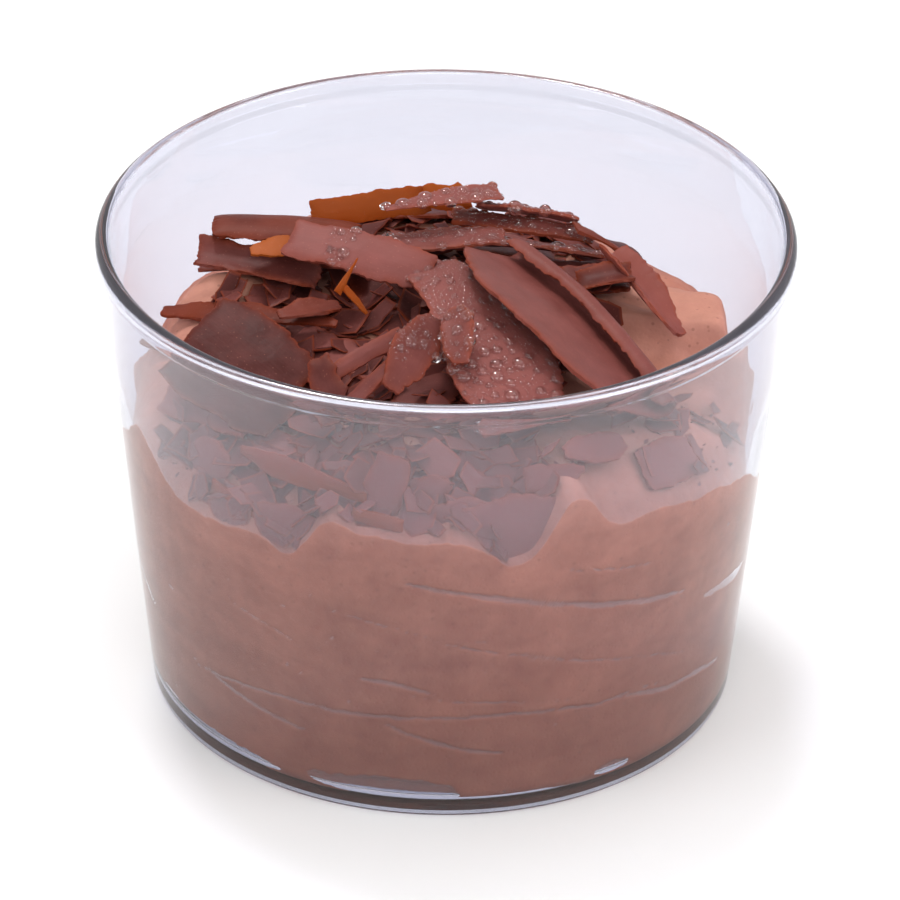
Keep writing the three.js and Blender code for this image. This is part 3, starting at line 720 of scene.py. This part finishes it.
def scraped_shaving(node_name, seed):
    name = node_name.removeprefix("shaving_")
    mesh = smooth_copy(node_name)
    count = len(mesh.vertices)
    co = places_mm(mesh)
    normals = values_of(mesh.vertices, "normal", 3)
    marks = values_of(mesh.polygons, "material_index", kind=int)
    face_normals = np.array([p.normal for p in mesh.polygons])
    on_rim = np.zeros(count, bool)
    on_side = [np.zeros(count, bool), np.zeros(count, bool)]
    rim_out = np.zeros((count, 3))
    for polygon, mark, normal in zip(mesh.polygons, marks, face_normals):
        ids = list(polygon.vertices)
        if mark == 0:
            on_rim[ids] = True
            rim_out[ids] += normal
        else:
            on_side[mark - 1][ids] = True
    rim_out /= np.maximum(np.linalg.norm(rim_out, axis=1), 1e-9)[:, None]

    middle = co.mean(0)
    _, _, axes = np.linalg.svd(co - middle, full_matrices=False)
    flat = (co - middle) @ axes.T
    long_way, cross_way, through = flat.T
    sheet = np.stack([long_way, cross_way, 0 * through], 1)

    rim_ids = np.flatnonzero(on_rim)
    nearest_rim, away = nearest(co[rim_ids], co)
    rim_of = rim_ids[nearest_rim]
    rim_sheet = sheet[rim_of]
    ragged = (
        0.55 * smooth_noise(rim_sheet, 2.6, seed)
        + 0.4 * smooth_noise(rim_sheet, 1.0, seed + 1)
        + 0.35 * smooth_noise(rim_sheet, 0.5, seed + 2)
        + 0.2 * smooth_noise(rim_sheet, 0.25, seed + 10)
    )
    small = min(1.0, (np.ptp(cross_way)) / 5)
    pull = np.clip(1 - away / EDGE_REACH, 0, 1) ** 1.3
    moved = co + (JAG * small * pull * (ragged - 0.1))[:, None] * rim_out[rim_of]

    side_points = [co[np.flatnonzero(s)] for s in on_side]
    close = np.flatnonzero(away < 4 * FEATHER_WIDTH)
    upper = side_points[0][nearest(side_points[0], co[close])[0]]
    under = side_points[1][nearest(side_points[1], co[close])[0]]
    thickness = np.linalg.norm(upper - under, axis=1)
    up = (upper - under) / np.maximum(thickness, 1e-6)[:, None]
    above = ((co[close] - (upper + under) / 2) * up).sum(1)
    feather = 0.62 + 0.25 * smooth_noise(sheet[close], 1.4, seed + 3)
    feather *= np.exp(-away[close] / FEATHER_WIDTH)
    moved[close] -= (above * feather)[:, None] * up

    dragged = sheet * (0.09, 1, 1)
    relief = 0.02 * smooth_noise(dragged, 0.9, seed + 4)
    relief += 0.012 * smooth_noise(sheet, 0.5, seed + 5)
    warp = 0.25 * smooth_noise(sheet, 6.5, seed + 6) + 0.05 * smooth_noise(sheet, 2.4, seed + 7)
    moved += relief[:, None] * normals * (~on_rim)[:, None]
    moved += np.outer(warp, axes[2])
    right, behind, above_it, lean, growth = SETTLED.get(name, (0, 0, 0, 0, 1))
    lean = math.radians(lean)
    off = (moved - middle) * growth
    forward, upward = math.cos(lean), math.sin(lean)
    off[:, 1:] = off[:, 1:] @ [[forward, upward], [-upward, forward]]
    moved = inside_wall(middle + off + (right, behind, above_it))
    mesh.vertices.foreach_set("co", (moved * MM).ravel())
    mesh.update()

    thin = np.exp(-away / 0.42) * np.clip(0.75 + 0.7 * smooth_noise(sheet, 1.7, seed + 8), 0, 1)
    patch = np.clip(0.8 + 0.5 * smooth_noise(sheet, 3.0, seed + 9), 0, 1.15)
    spread = GLOW.get(name, 0.0) * patch
    add_point_values(mesh, "glow", np.clip(np.maximum(RIM_GLOW * thin, spread), 0, 1))
    # The tone is partly the piece's own and partly painted sheen or painted shade.
    lot = PIECE_TONE_AND_PAINTED_LIGHT.get(name, 0.5 + 0.4 * math.sin(12.9898 * seed))
    # Painted light: the wall flakes are made lighter.
    if name.startswith("wall_"):
        lot = WALL_PAINTED_LIGHT_TONE
    add_point_values(mesh, "shade", np.full(count, lot))
    uv = mesh.uv_layers.new(name="sheet")
    loops = values_of(mesh.loops, "vertex_index", kind=int)
    uv.data.foreach_set("uv", np.stack([long_way[loops], cross_way[loops]], 1).ravel() / 10)
    loop_marks = np.repeat(marks, values_of(mesh.polygons, "loop_total", kind=int))
    loop_edges = values_of(mesh.loops, "edge_index", kind=int)
    lowest = np.full(len(mesh.edges), 9)
    highest = np.full(len(mesh.edges), -1)
    np.minimum.at(lowest, loop_edges, loop_marks)
    np.maximum.at(highest, loop_edges, loop_marks)
    corner = mesh.attributes.get("sharp_edge")
    corner = corner or mesh.attributes.new("sharp_edge", "BOOLEAN", "EDGE")
    corner.data.foreach_set("value", lowest != highest)
    mesh.polygons.foreach_set("use_smooth", [True] * len(mesh.polygons))
    mesh.polygons.foreach_set("material_index", [0] * len(mesh.polygons))
    return in_scene(name, mesh)


def chocolate_material(name, dark, light, glowing):
    """Couverture scraped with a blade: satin, with drag lines 0.15 to 0.4 mm apart, warm brown,
    the lighter pieces with a mauve sheen painted into their tone and the darker ones painted shade,
    and red to amber where it is thin."""
    made, tree = new_material(name)
    sheet = add_node(tree, "ShaderNodeUVMap", uv_map="sheet")
    place = add_node(tree, "ShaderNodeTexCoord")
    drag_way = add_node(
        tree, "ShaderNodeMapping", {"Vector": sheet.outputs[0], "Scale": (1.2, 22.0, 1.0)}
    )
    drag = add_node(
        tree,
        "ShaderNodeTexNoise",
        {"Vector": drag_way.outputs[0], "Scale": 2.0, "Detail": 4.0, "Roughness": 0.65},
    )
    mottle = add_node(
        tree,
        "ShaderNodeTexNoise",
        {"Vector": place.outputs["Object"], "Scale": 260.0, "Detail": 4.0, "Roughness": 0.6},
    )
    chips = add_node(
        tree,
        "ShaderNodeTexNoise",
        {"Vector": place.outputs["Object"], "Scale": 1400.0, "Detail": 3.0},
    )
    dust = add_node(
        tree, "ShaderNodeTexVoronoi", {"Vector": place.outputs["Object"], "Scale": 1900.0}
    )
    dust_mask = add_node(
        tree,
        "ShaderNodeMapRange",
        {
            "Value": dust.outputs["Distance"],
            "From Min": 0.08,
            "From Max": 0.16,
            "To Min": 0.32,
            "To Max": 0.0,
        },
    )
    shade = add_node(tree, "ShaderNodeAttribute", attribute_name="shade")
    glow = add_node(tree, "ShaderNodeAttribute", attribute_name="glow")
    # The piece tone carries painted sheen and painted shade as well as its own tone.
    lightness = -0.03
    for part, share in ((mottle, 0.4), (drag, 0.12), (shade, 0.6)):
        inputs = {0: part.outputs["Fac"], 1: share, 2: lightness}
        lightness = add_node(tree, "ShaderNodeMath", inputs, operation="MULTIPLY_ADD").outputs[0]
    brown = add_node(tree, "ShaderNodeValToRGB", {"Fac": lightness})
    brown.color_ramp.elements[0].position = 0.2
    brown.color_ramp.elements[0].color = linear(dark)
    brown.color_ramp.elements[1].position = 0.85
    brown.color_ramp.elements[1].color = linear(light)
    colour = brown.outputs["Color"]
    # The glow share also paints the amber of light shining through thin parts into the base colour.
    for share, tint in ((glow.outputs["Fac"], glowing), (dust_mask.outputs[0], "#B0705C")):
        inputs = {0: share, 6: colour, 7: linear(tint)}
        colour = add_node(tree, "ShaderNodeMix", inputs, data_type="RGBA").outputs[2]
    scrape = add_node(
        tree,
        "ShaderNodeBump",
        {"Height": drag.outputs["Fac"], "Strength": 0.12, "Distance": 0.0001},
    )
    crumble = add_node(
        tree,
        "ShaderNodeBump",
        {
            "Height": chips.outputs["Fac"],
            "Strength": 0.25,
            "Distance": 0.0001,
            "Normal": scrape.outputs[0],
        },
    )
    sheen = add_node(
        tree,
        "ShaderNodeMapRange",
        {"Value": mottle.outputs["Fac"], "To Min": 0.36, "To Max": 0.56},
    )
    body = add_node(
        tree,
        "ShaderNodeBsdfPrincipled",
        {
            "Base Color": colour,
            "Roughness": sheen.outputs[0],
            "IOR": 1.5,
            "Specular IOR Level": 0.12,
            "Normal": crumble.outputs[0],
        },
    )
    through = add_node(tree, "ShaderNodeBsdfTranslucent", {"Color": linear("#DA6C24")})
    share = add_node(
        tree, "ShaderNodeMath", {0: glow.outputs["Fac"], 1: 0.45}, operation="MULTIPLY"
    )
    both = add_node(
        tree,
        "ShaderNodeMixShader",
        {0: share.outputs[0], 1: body.outputs[0], 2: through.outputs[0]},
    )
    add_node(tree, "ShaderNodeOutputMaterial", {"Surface": both.outputs[0]})
    return made


dark_chocolate = chocolate_material("scraped_dark_couverture", "#40130E", "#884E49", "#A3451F")
# The thin pieces' orange colours are painted light too: the colour of light shining through them.
thin_chocolate = chocolate_material("feather_thin_couverture", "#7A3414", "#A5521F", "#AE551C")
shavings = {}
for count, node_name in enumerate(sorted(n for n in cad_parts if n.startswith("shaving_"))):
    piece = scraped_shaving(node_name, 100 + 10 * count)
    shavings[piece.name] = piece
    if piece.name in AMBER_SLOT:
        finish_piece(piece, thin_chocolate, [node_name])
    else:
        finish_piece(piece, dark_chocolate, [node_name])


# ---------- broken flakes ----------
# What broke off the shavings on the way: flat flakes of 2 to 8 mm and crumbs under a millimetre,
# of the same dark couverture. They fill the gaps of the heap, cover the front slope of the mousse
# down to the wall and lie loose.

# Where flakes lie: middle x and y, reach x and y in millimetres, and how thickly, from 0 to 1.
FLAKE_AREAS = [
    (-4, -3, 23, 15, 1.0),
    (-13, -22, 19, 13, 0.95),
    (3, -24, 13, 12, 0.9),
    (24, -19, 8, 5, 0.35),
    (29, -14, 4, 6, 0.4),
    (2, 14, 20, 9, 0.5),
]
BARE_AREAS = [(26, 1, 8.5, 7.5), (-27, 3, 7, 3.2), (-3.5, -23.5, 2.6, 2.2), (15, -22, 6, 6)]
FLAKE_SHAPES = (("wide", 3.4, 2.7, 5, 31), ("broken", 3.0, 2.0, 4, 47), ("narrow", 3.8, 1.2, 5, 63))


def flake_cover(points_mm):
    x, y = points_mm[:, 0], points_mm[:, 1]
    cover = np.zeros(len(x))
    for middle_x, middle_y, reach_x, reach_y, share in FLAKE_AREAS:
        inside = ((x - middle_x) / reach_x) ** 2 + ((y - middle_y) / reach_y) ** 2 < 1
        cover = np.maximum(cover, share * inside)
    for middle_x, middle_y, reach_x, reach_y in BARE_AREAS:
        inside = ((x - middle_x) / reach_x) ** 2 + ((y - middle_y) / reach_y) ** 2 < 1
        cover = np.where(inside, 0.0, cover)
    return cover * (np.hypot(x, y) < inner_radius(points_mm[:, 2]) - 0.7)


def flake_bed(name, lift):
    """The part of the mousse's top that carries flakes, raised by lift, with its cover."""
    co = places_mm(mousse.data)
    cover = flake_cover(co)
    faces = [
        list(p.vertices)
        for p in mousse.data.polygons
        if p.normal.z > 0.12 and co[p.vertices[0], 2] > 30 and cover[list(p.vertices)].max() > 0
    ]
    used = np.unique(np.concatenate(faces))
    renumber = np.full(len(co), -1)
    renumber[used] = np.arange(len(used))
    made = object_from(name, co[used] + (0, 0, lift), [renumber[f].tolist() for f in faces])
    add_point_values(made.data, "cover", cover[used])
    return made


def loose_flake(name, half_length, half_width, corners, seed):
    """One thin flake with straight broken sides, a slight curl and thin glowing edges."""
    turns = np.sort(
        np.linspace(0, 2 * math.pi, corners, endpoint=False)
        + 0.5 * smooth_noise(np.arange(corners)[:, None] * (3.1, 5.3, 7.7), 1, seed)
    )
    tips = np.stack([half_length * np.cos(turns), half_width * np.sin(turns)], 1)
    outline = []
    for a, b in zip(tips, np.roll(tips, -1, 0)):
        for share in (0.0, 0.35, 0.7):
            outline.append(a + (b - a) * share)
    outline = np.array(outline)
    place = np.column_stack([outline, 0 * outline[:, 0]])
    chipped = [smooth_noise(place, 0.9, seed + 1), smooth_noise(place, 0.9, seed + 2)]
    outline += 0.2 * np.stack(chipped, 1)
    n = len(outline)
    rings = [(outline, 0.05), (outline * 0.82, 0.17), (outline * 0.4, 0.22)]
    points = []
    for side in (1, -1):
        for ring, half_thick in rings:
            curl = 0.05 * ring[:, 1] ** 2 + 0.02 * ring[:, 0] ** 2
            points += np.column_stack([ring, curl + side * half_thick]).tolist()
        points.append([0, 0, side * 0.22])
    faces = []
    other = 3 * n + 1
    for i in range(n):
        k = (i + 1) % n
        faces.append([i, other + i, other + k, k])
        for r in (0, 1):
            faces.append([r * n + i, r * n + k, (r + 1) * n + k, (r + 1) * n + i])
            low, high = other + r * n, other + (r + 1) * n
            faces.append([low + k, low + i, high + i, high + k])
        faces.append([2 * n + i, 2 * n + k, 3 * n])
        faces.append([other + 2 * n + k, other + 2 * n + i, other + 3 * n])
    made = object_from(name, points, faces)
    made.data.polygons.foreach_set("use_smooth", [False] * len(faces))
    glow = np.zeros(len(points))
    glow[:n] = glow[other : other + n] = 0.4
    add_point_values(made.data, "glow", glow)
    return made


def scatter_group(name, own_inputs):
    """A tree that spreads points evenly over a geometry, with its inputs by name and kind."""
    group = bpy.data.node_groups.new(name, "GeometryNodeTree")
    inputs = {"Geometry": "Geometry", "Spacing": "Float", "Density": "Float", "Seed": "Int"}
    inputs |= {"Smallest": "Float", "Largest": "Float", **own_inputs}
    for label, kind in inputs.items():
        group.interface.new_socket(label, in_out="INPUT", socket_type="NodeSocket" + kind)
    group.interface.new_socket("Geometry", in_out="OUTPUT", socket_type="NodeSocketGeometry")
    given = add_node(group, "NodeGroupInput").outputs
    spread = add_node(
        group,
        "GeometryNodeDistributePointsOnFaces",
        {
            "Mesh": given["Geometry"],
            "Distance Min": given["Spacing"],
            "Density Max": given["Density"],
            "Seed": given["Seed"],
        },
        distribute_method="POISSON",
    )
    return group, given, spread


def flake_tree(name, material):
    """Strews copies of one flake over a bed. Sizes are the named inputs."""
    own_inputs = {"Flake": "Object", "Lean": "Vector", "Darkest": "Float", "Lightest": "Float"}
    group, given, spread = scatter_group(name, own_inputs)
    cover = add_node(group, "GeometryNodeInputNamedAttribute", {"Name": "cover"}, data_type="FLOAT")
    group.links.new(cover.outputs["Attribute"], spread.inputs["Density Factor"])
    flake = add_node(group, "GeometryNodeObjectInfo", {"Object": given["Flake"]})
    size = add_node(
        group,
        "FunctionNodeRandomValue",
        {2: given["Smallest"], 3: given["Largest"], "Seed": given["Seed"]},
        data_type="FLOAT",
    )
    least_lean = add_node(
        group, "ShaderNodeVectorMath", {0: given["Lean"], "Scale": -1.0}, operation="SCALE"
    )
    lean = add_node(
        group,
        "FunctionNodeRandomValue",
        {0: least_lean.outputs[0], 1: given["Lean"], "Seed": given["Seed"]},
        data_type="FLOAT_VECTOR",
    )
    flakes = add_node(
        group,
        "GeometryNodeInstanceOnPoints",
        {
            "Points": spread.outputs["Points"],
            "Instance": flake.outputs["Geometry"],
            "Rotation": spread.outputs["Rotation"],
            "Scale": size.outputs[1],
        },
    )
    leaned = add_node(
        group,
        "GeometryNodeRotateInstances",
        {"Instances": flakes.outputs[0], "Rotation": lean.outputs[0]},
    )
    tone = add_node(
        group,
        "FunctionNodeRandomValue",
        {2: given["Darkest"], 3: given["Lightest"], "Seed": 3},
        data_type="FLOAT",
    )
    place = add_node(group, "GeometryNodeInputPosition")
    place_parts = add_node(group, "ShaderNodeSeparateXYZ", {"Vector": place.outputs[0]})
    # Painted light: flakes towards the front slope and wall get a lighter tone, as if lit through the
    # wall.
    painted_front_light = add_node(
        group,
        "ShaderNodeMapRange",
        {"Value": place_parts.outputs["Y"], "From Min": -0.014, "From Max": -0.024, "To Max": 0.55},
    )
    tone_with_painted_front_light = add_node(group, "ShaderNodeMath", {0: tone.outputs[1], 1: painted_front_light.outputs[0]})
    toned = add_node(
        group,
        "GeometryNodeStoreNamedAttribute",
        {"Geometry": leaned.outputs[0], "Name": "shade", "Value": tone_with_painted_front_light.outputs[0]},
        data_type="FLOAT",
        domain="INSTANCE",
    )
    real = add_node(group, "GeometryNodeRealizeInstances", {"Geometry": toned.outputs[0]})
    finish = add_node(
        group,
        "GeometryNodeSetMaterial",
        {"Geometry": real.outputs[0], "Material": material},
    )
    add_node(group, "NodeGroupOutput", {"Geometry": finish.outputs[0]})
    return group


def scatter(name, carrier, group, **sizes):
    """Runs a scattering tree on a copy of the carrier and keeps the plain mesh."""
    source = in_scene(name + "_source", carrier.data)
    modifier = source.modifiers.new("scatter", "NODES")
    modifier.node_group = group
    sockets = {s.name: s.identifier for s in group.interface.items_tree if s.in_out == "INPUT"}
    for label, value in sizes.items():
        modifier[sockets[label.replace("_", " ")]] = value
    view = bpy.context.evaluated_depsgraph_get()
    mesh = bpy.data.meshes.new_from_object(source.evaluated_get(view))
    bpy.data.objects.remove(source)
    return in_scene(name, mesh)


strewn = flake_tree("strewn_flakes", dark_chocolate)
layers = [
    # name, lift, spacing, smallest, largest, lean in radians
    ("lower", 0.35, 2.7, 0.6, 1.15, 0.3),
    ("upper", 1.5, 3.3, 0.5, 1.0, 0.55),
]
for shape_name, half_length, half_width, corners, seed in FLAKE_SHAPES:
    flake = loose_flake("flake_" + shape_name, half_length, half_width, corners, seed)
    for layer_name, lift, spacing, smallest, largest, lean in layers:
        bed = flake_bed("bed", lift)
        piece = scatter(
            f"{layer_name}_{shape_name}_flakes",
            bed,
            strewn,
            Flake=flake,
            Spacing=1.5 * spacing * MM,
            Density=400000.0,
            Smallest=smallest,
            Largest=largest,
            Lean=(lean, lean, 3.14),
            Darkest=0.0,
            Lightest=0.6,
            Seed=seed + round(10 * lift),
        )
        bent = inside_wall(places_mm(piece.data))
        piece.data.vertices.foreach_set("co", (bent * MM).ravel())
        bpy.data.objects.remove(bed)
        finish_piece(piece, dark_chocolate, [])
    if shape_name == "broken":
        bed = flake_bed("bed", 0.1)
        crumbs = scatter(
            "chocolate_crumbs",
            bed,
            strewn,
            Flake=flake,
            Spacing=0.9 * MM,
            Density=1200000.0,
            Smallest=0.06,
            Largest=0.22,
            Lean=(1.5, 1.5, 3.14),
            Darkest=0.3,
            Lightest=0.9,
            Seed=12,
        )
        bpy.data.objects.remove(bed)
        finish_piece(crumbs, dark_chocolate, [])
    bpy.data.objects.remove(flake)


# ---------- condensation ----------
# Water from the cold air of a refrigerator, settled on the chocolate as separate beads. Each
# clings as a low dome, because water doesn't wet cocoa butter.

# Where the beads stand: shaving, then how much of it is wet, from 0 to about 1.
WET = {
    "tongue": 1.3,
    "left_plate": 0.02,
    "boat": 1.0,
    "crest_flake": 0.3,
    "long_leaf": 0.3,
    "rear_taper": 0.6,
    "ridge_bar": 0.4,
    "ridge_bar_rear": 0.4,
    "rear_flat": 0.3,
    "left_curl": 0.1,
    "arm": 0.25,
}


def wet_faces():
    """The up-facing faces that hold water, as one mesh, with the normals pointing out."""
    points, faces = [], []
    for name, wetness in WET.items():
        mesh = shavings[name].data
        middles = np.array([p.center for p in mesh.polygons]) / MM
        wet = layered_noise(middles, 7, 77) * 0.9 + 0.5 < wetness + 0.25
        start = len(points)
        points += places_mm(mesh).tolist()
        for polygon, holds in zip(mesh.polygons, wet):
            if holds and polygon.normal.z > 0.35:
                faces.append([start + i for i in polygon.vertices])
    return object_from("wet_faces", points, faces)


def bead_tree(name, material):
    """Scatters low domes over a surface. Sizes are the named inputs."""
    group, given, spread = scatter_group(name, {"Flatness": "Float", "Roundness": "Int"})
    bead = add_node(
        group,
        "GeometryNodeMeshIcoSphere",
        {"Radius": 1.0, "Subdivisions": given["Roundness"]},
    )
    chance = add_node(group, "FunctionNodeRandomValue", {"Seed": given["Seed"]}, data_type="FLOAT")
    skew = add_node(group, "ShaderNodeMath", {0: chance.outputs[1], 1: 1.3}, operation="POWER")
    size = add_node(
        group,
        "ShaderNodeMapRange",
        {"Value": skew.outputs[0], "To Min": given["Smallest"], "To Max": given["Largest"]},
    )
    low = add_node(
        group,
        "ShaderNodeMath",
        {0: size.outputs[0], 1: given["Flatness"]},
        operation="MULTIPLY",
    )
    dome = add_node(
        group,
        "ShaderNodeCombineXYZ",
        {"X": size.outputs[0], "Y": size.outputs[0], "Z": low.outputs[0]},
    )
    beads = add_node(
        group,
        "GeometryNodeInstanceOnPoints",
        {
            "Points": spread.outputs["Points"],
            "Instance": bead.outputs["Mesh"],
            "Rotation": spread.outputs["Rotation"],
            "Scale": dome.outputs[0],
        },
    )
    real = add_node(group, "GeometryNodeRealizeInstances", {"Geometry": beads.outputs[0]})
    smooth = add_node(group, "GeometryNodeSetShadeSmooth", {"Geometry": real.outputs[0]})
    finish = add_node(
        group,
        "GeometryNodeSetMaterial",
        {"Geometry": smooth.outputs[0], "Material": material},
    )
    add_node(group, "NodeGroupOutput", {"Geometry": finish.outputs[0]})
    return group


# Water: clear and smooth, so it shows as a bright spark with a dark rim and a lens of brown. Its
# index is above water's 1.33, so that beads this small still stand out.
water, tree = new_material("condensed_water")
drop_body = add_node(
    tree,
    "ShaderNodeBsdfPrincipled",
    {"Base Color": linear("#FFFFFF"), "Roughness": 0.0, "IOR": 1.55, "Transmission Weight": 1.0},
)
clear_surface(tree, drop_body.outputs[0], "#C8C0C0")

carrier = wet_faces()
beads = bead_tree("water_beads", water)
large_beads = scatter(
    "large_water_beads",
    carrier,
    beads,
    Spacing=1.45 * MM,
    Density=900000.0,
    Smallest=0.35 * MM,
    Largest=1.0 * MM,
    Flatness=0.62,
    Roundness=3,
    Seed=5,
)
small_beads = scatter(
    "small_water_beads",
    carrier,
    beads,
    Spacing=0.45 * MM,
    Density=7000000.0,
    Smallest=0.08 * MM,
    Largest=0.3 * MM,
    Flatness=0.7,
    Roundness=2,
    Seed=9,
)
bpy.data.objects.remove(carrier)
for piece in (large_beads, small_beads):
    finish_piece(piece, water, [])


# ---------- studio ----------
# A white sweep with broad soft lamps, and a long lens looking down at the front of the cup.

LOOK_AT = Vector((0.756, 0.0, 29.22)) * MM
DISTANCE = 862.9 * MM
ELEVATION = math.radians(30.98)
ROLL = math.radians(0.74)
LENS = 290.7
WALLS_BRIGHT = 0.8
CEILING_BRIGHT = 0.45

scene = bpy.context.scene
scene.view_settings.view_transform = "Standard"

floor_size = 3.0
floor_mesh = bpy.data.meshes.new("studio_floor")
half = floor_size / 2
floor_mesh.from_pydata(
    [(-half, -half, 0), (half, -half, 0), (half, half, 0), (-half, half, 0)], [], [(0, 1, 2, 3)]
)
floor = in_scene("studio_floor", floor_mesh)
paper, tree = new_material("white_backdrop_paper")
body = add_node(
    tree, "ShaderNodeBsdfPrincipled", {"Base Color": linear("#FAFAFA"), "Roughness": 0.9}
)
add_node(tree, "ShaderNodeOutputMaterial", {"Surface": body.outputs[0]})
floor_mesh.materials.append(paper)

world = bpy.data.worlds.new("studio_air")
scene.world = world
world.use_nodes = True
world.node_tree.nodes.clear()
tree = world.node_tree
towards = add_node(tree, "ShaderNodeTexCoord")
height = add_node(tree, "ShaderNodeSeparateXYZ", {"Vector": towards.outputs["Generated"]})
strength = add_node(
    tree,
    "ShaderNodeMapRange",
    {
        "Value": height.outputs["Z"],
        "From Min": 0.0,
        "From Max": 0.7,
        "To Min": WALLS_BRIGHT,
        "To Max": CEILING_BRIGHT,
    },
)
air = add_node(
    tree,
    "ShaderNodeBackground",
    {"Color": linear("#FFFFFF"), "Strength": strength.outputs[0]},
)
add_node(tree, "ShaderNodeOutputWorld", {"Surface": air.outputs[0]})


def soft_lamp(name, place_mm, power, size_mm):
    lamp = bpy.data.lights.new(name, "AREA")
    lamp.energy = power
    lamp.size = size_mm * MM
    made = in_scene(name, lamp)
    made.location = Vector(place_mm) * MM
    aim = Vector((0, 0, 40 * MM)) - made.location
    made.rotation_euler = aim.to_track_quat("-Z", "Y").to_euler()


soft_lamp("overhead_lamp", (0, 100, 640), 0.8, 520)
soft_lamp("key_lamp", (-110, 250, 600), 1.6, 120)
soft_lamp("front_lamp", (60, -470, 560), 1.0, 300)
soft_lamp("left_lamp", (-520, -300, 330), 1.1, 400)
soft_lamp("right_lamp", (540, -260, 330), 1.7, 400)

camera_data = bpy.data.cameras.new("camera")
camera_data.lens = LENS
camera_data.sensor_width = 36
camera_data.clip_start = 0.01
camera = in_scene("camera", camera_data)
back = Vector((0, -math.cos(ELEVATION), math.sin(ELEVATION)))
camera.location = LOOK_AT + back * DISTANCE
camera.rotation_mode = "QUATERNION"
camera.rotation_quaternion = (-back).to_track_quat("-Z", "Y") @ Quaternion((0, 0, 1), ROLL)
scene.camera = camera
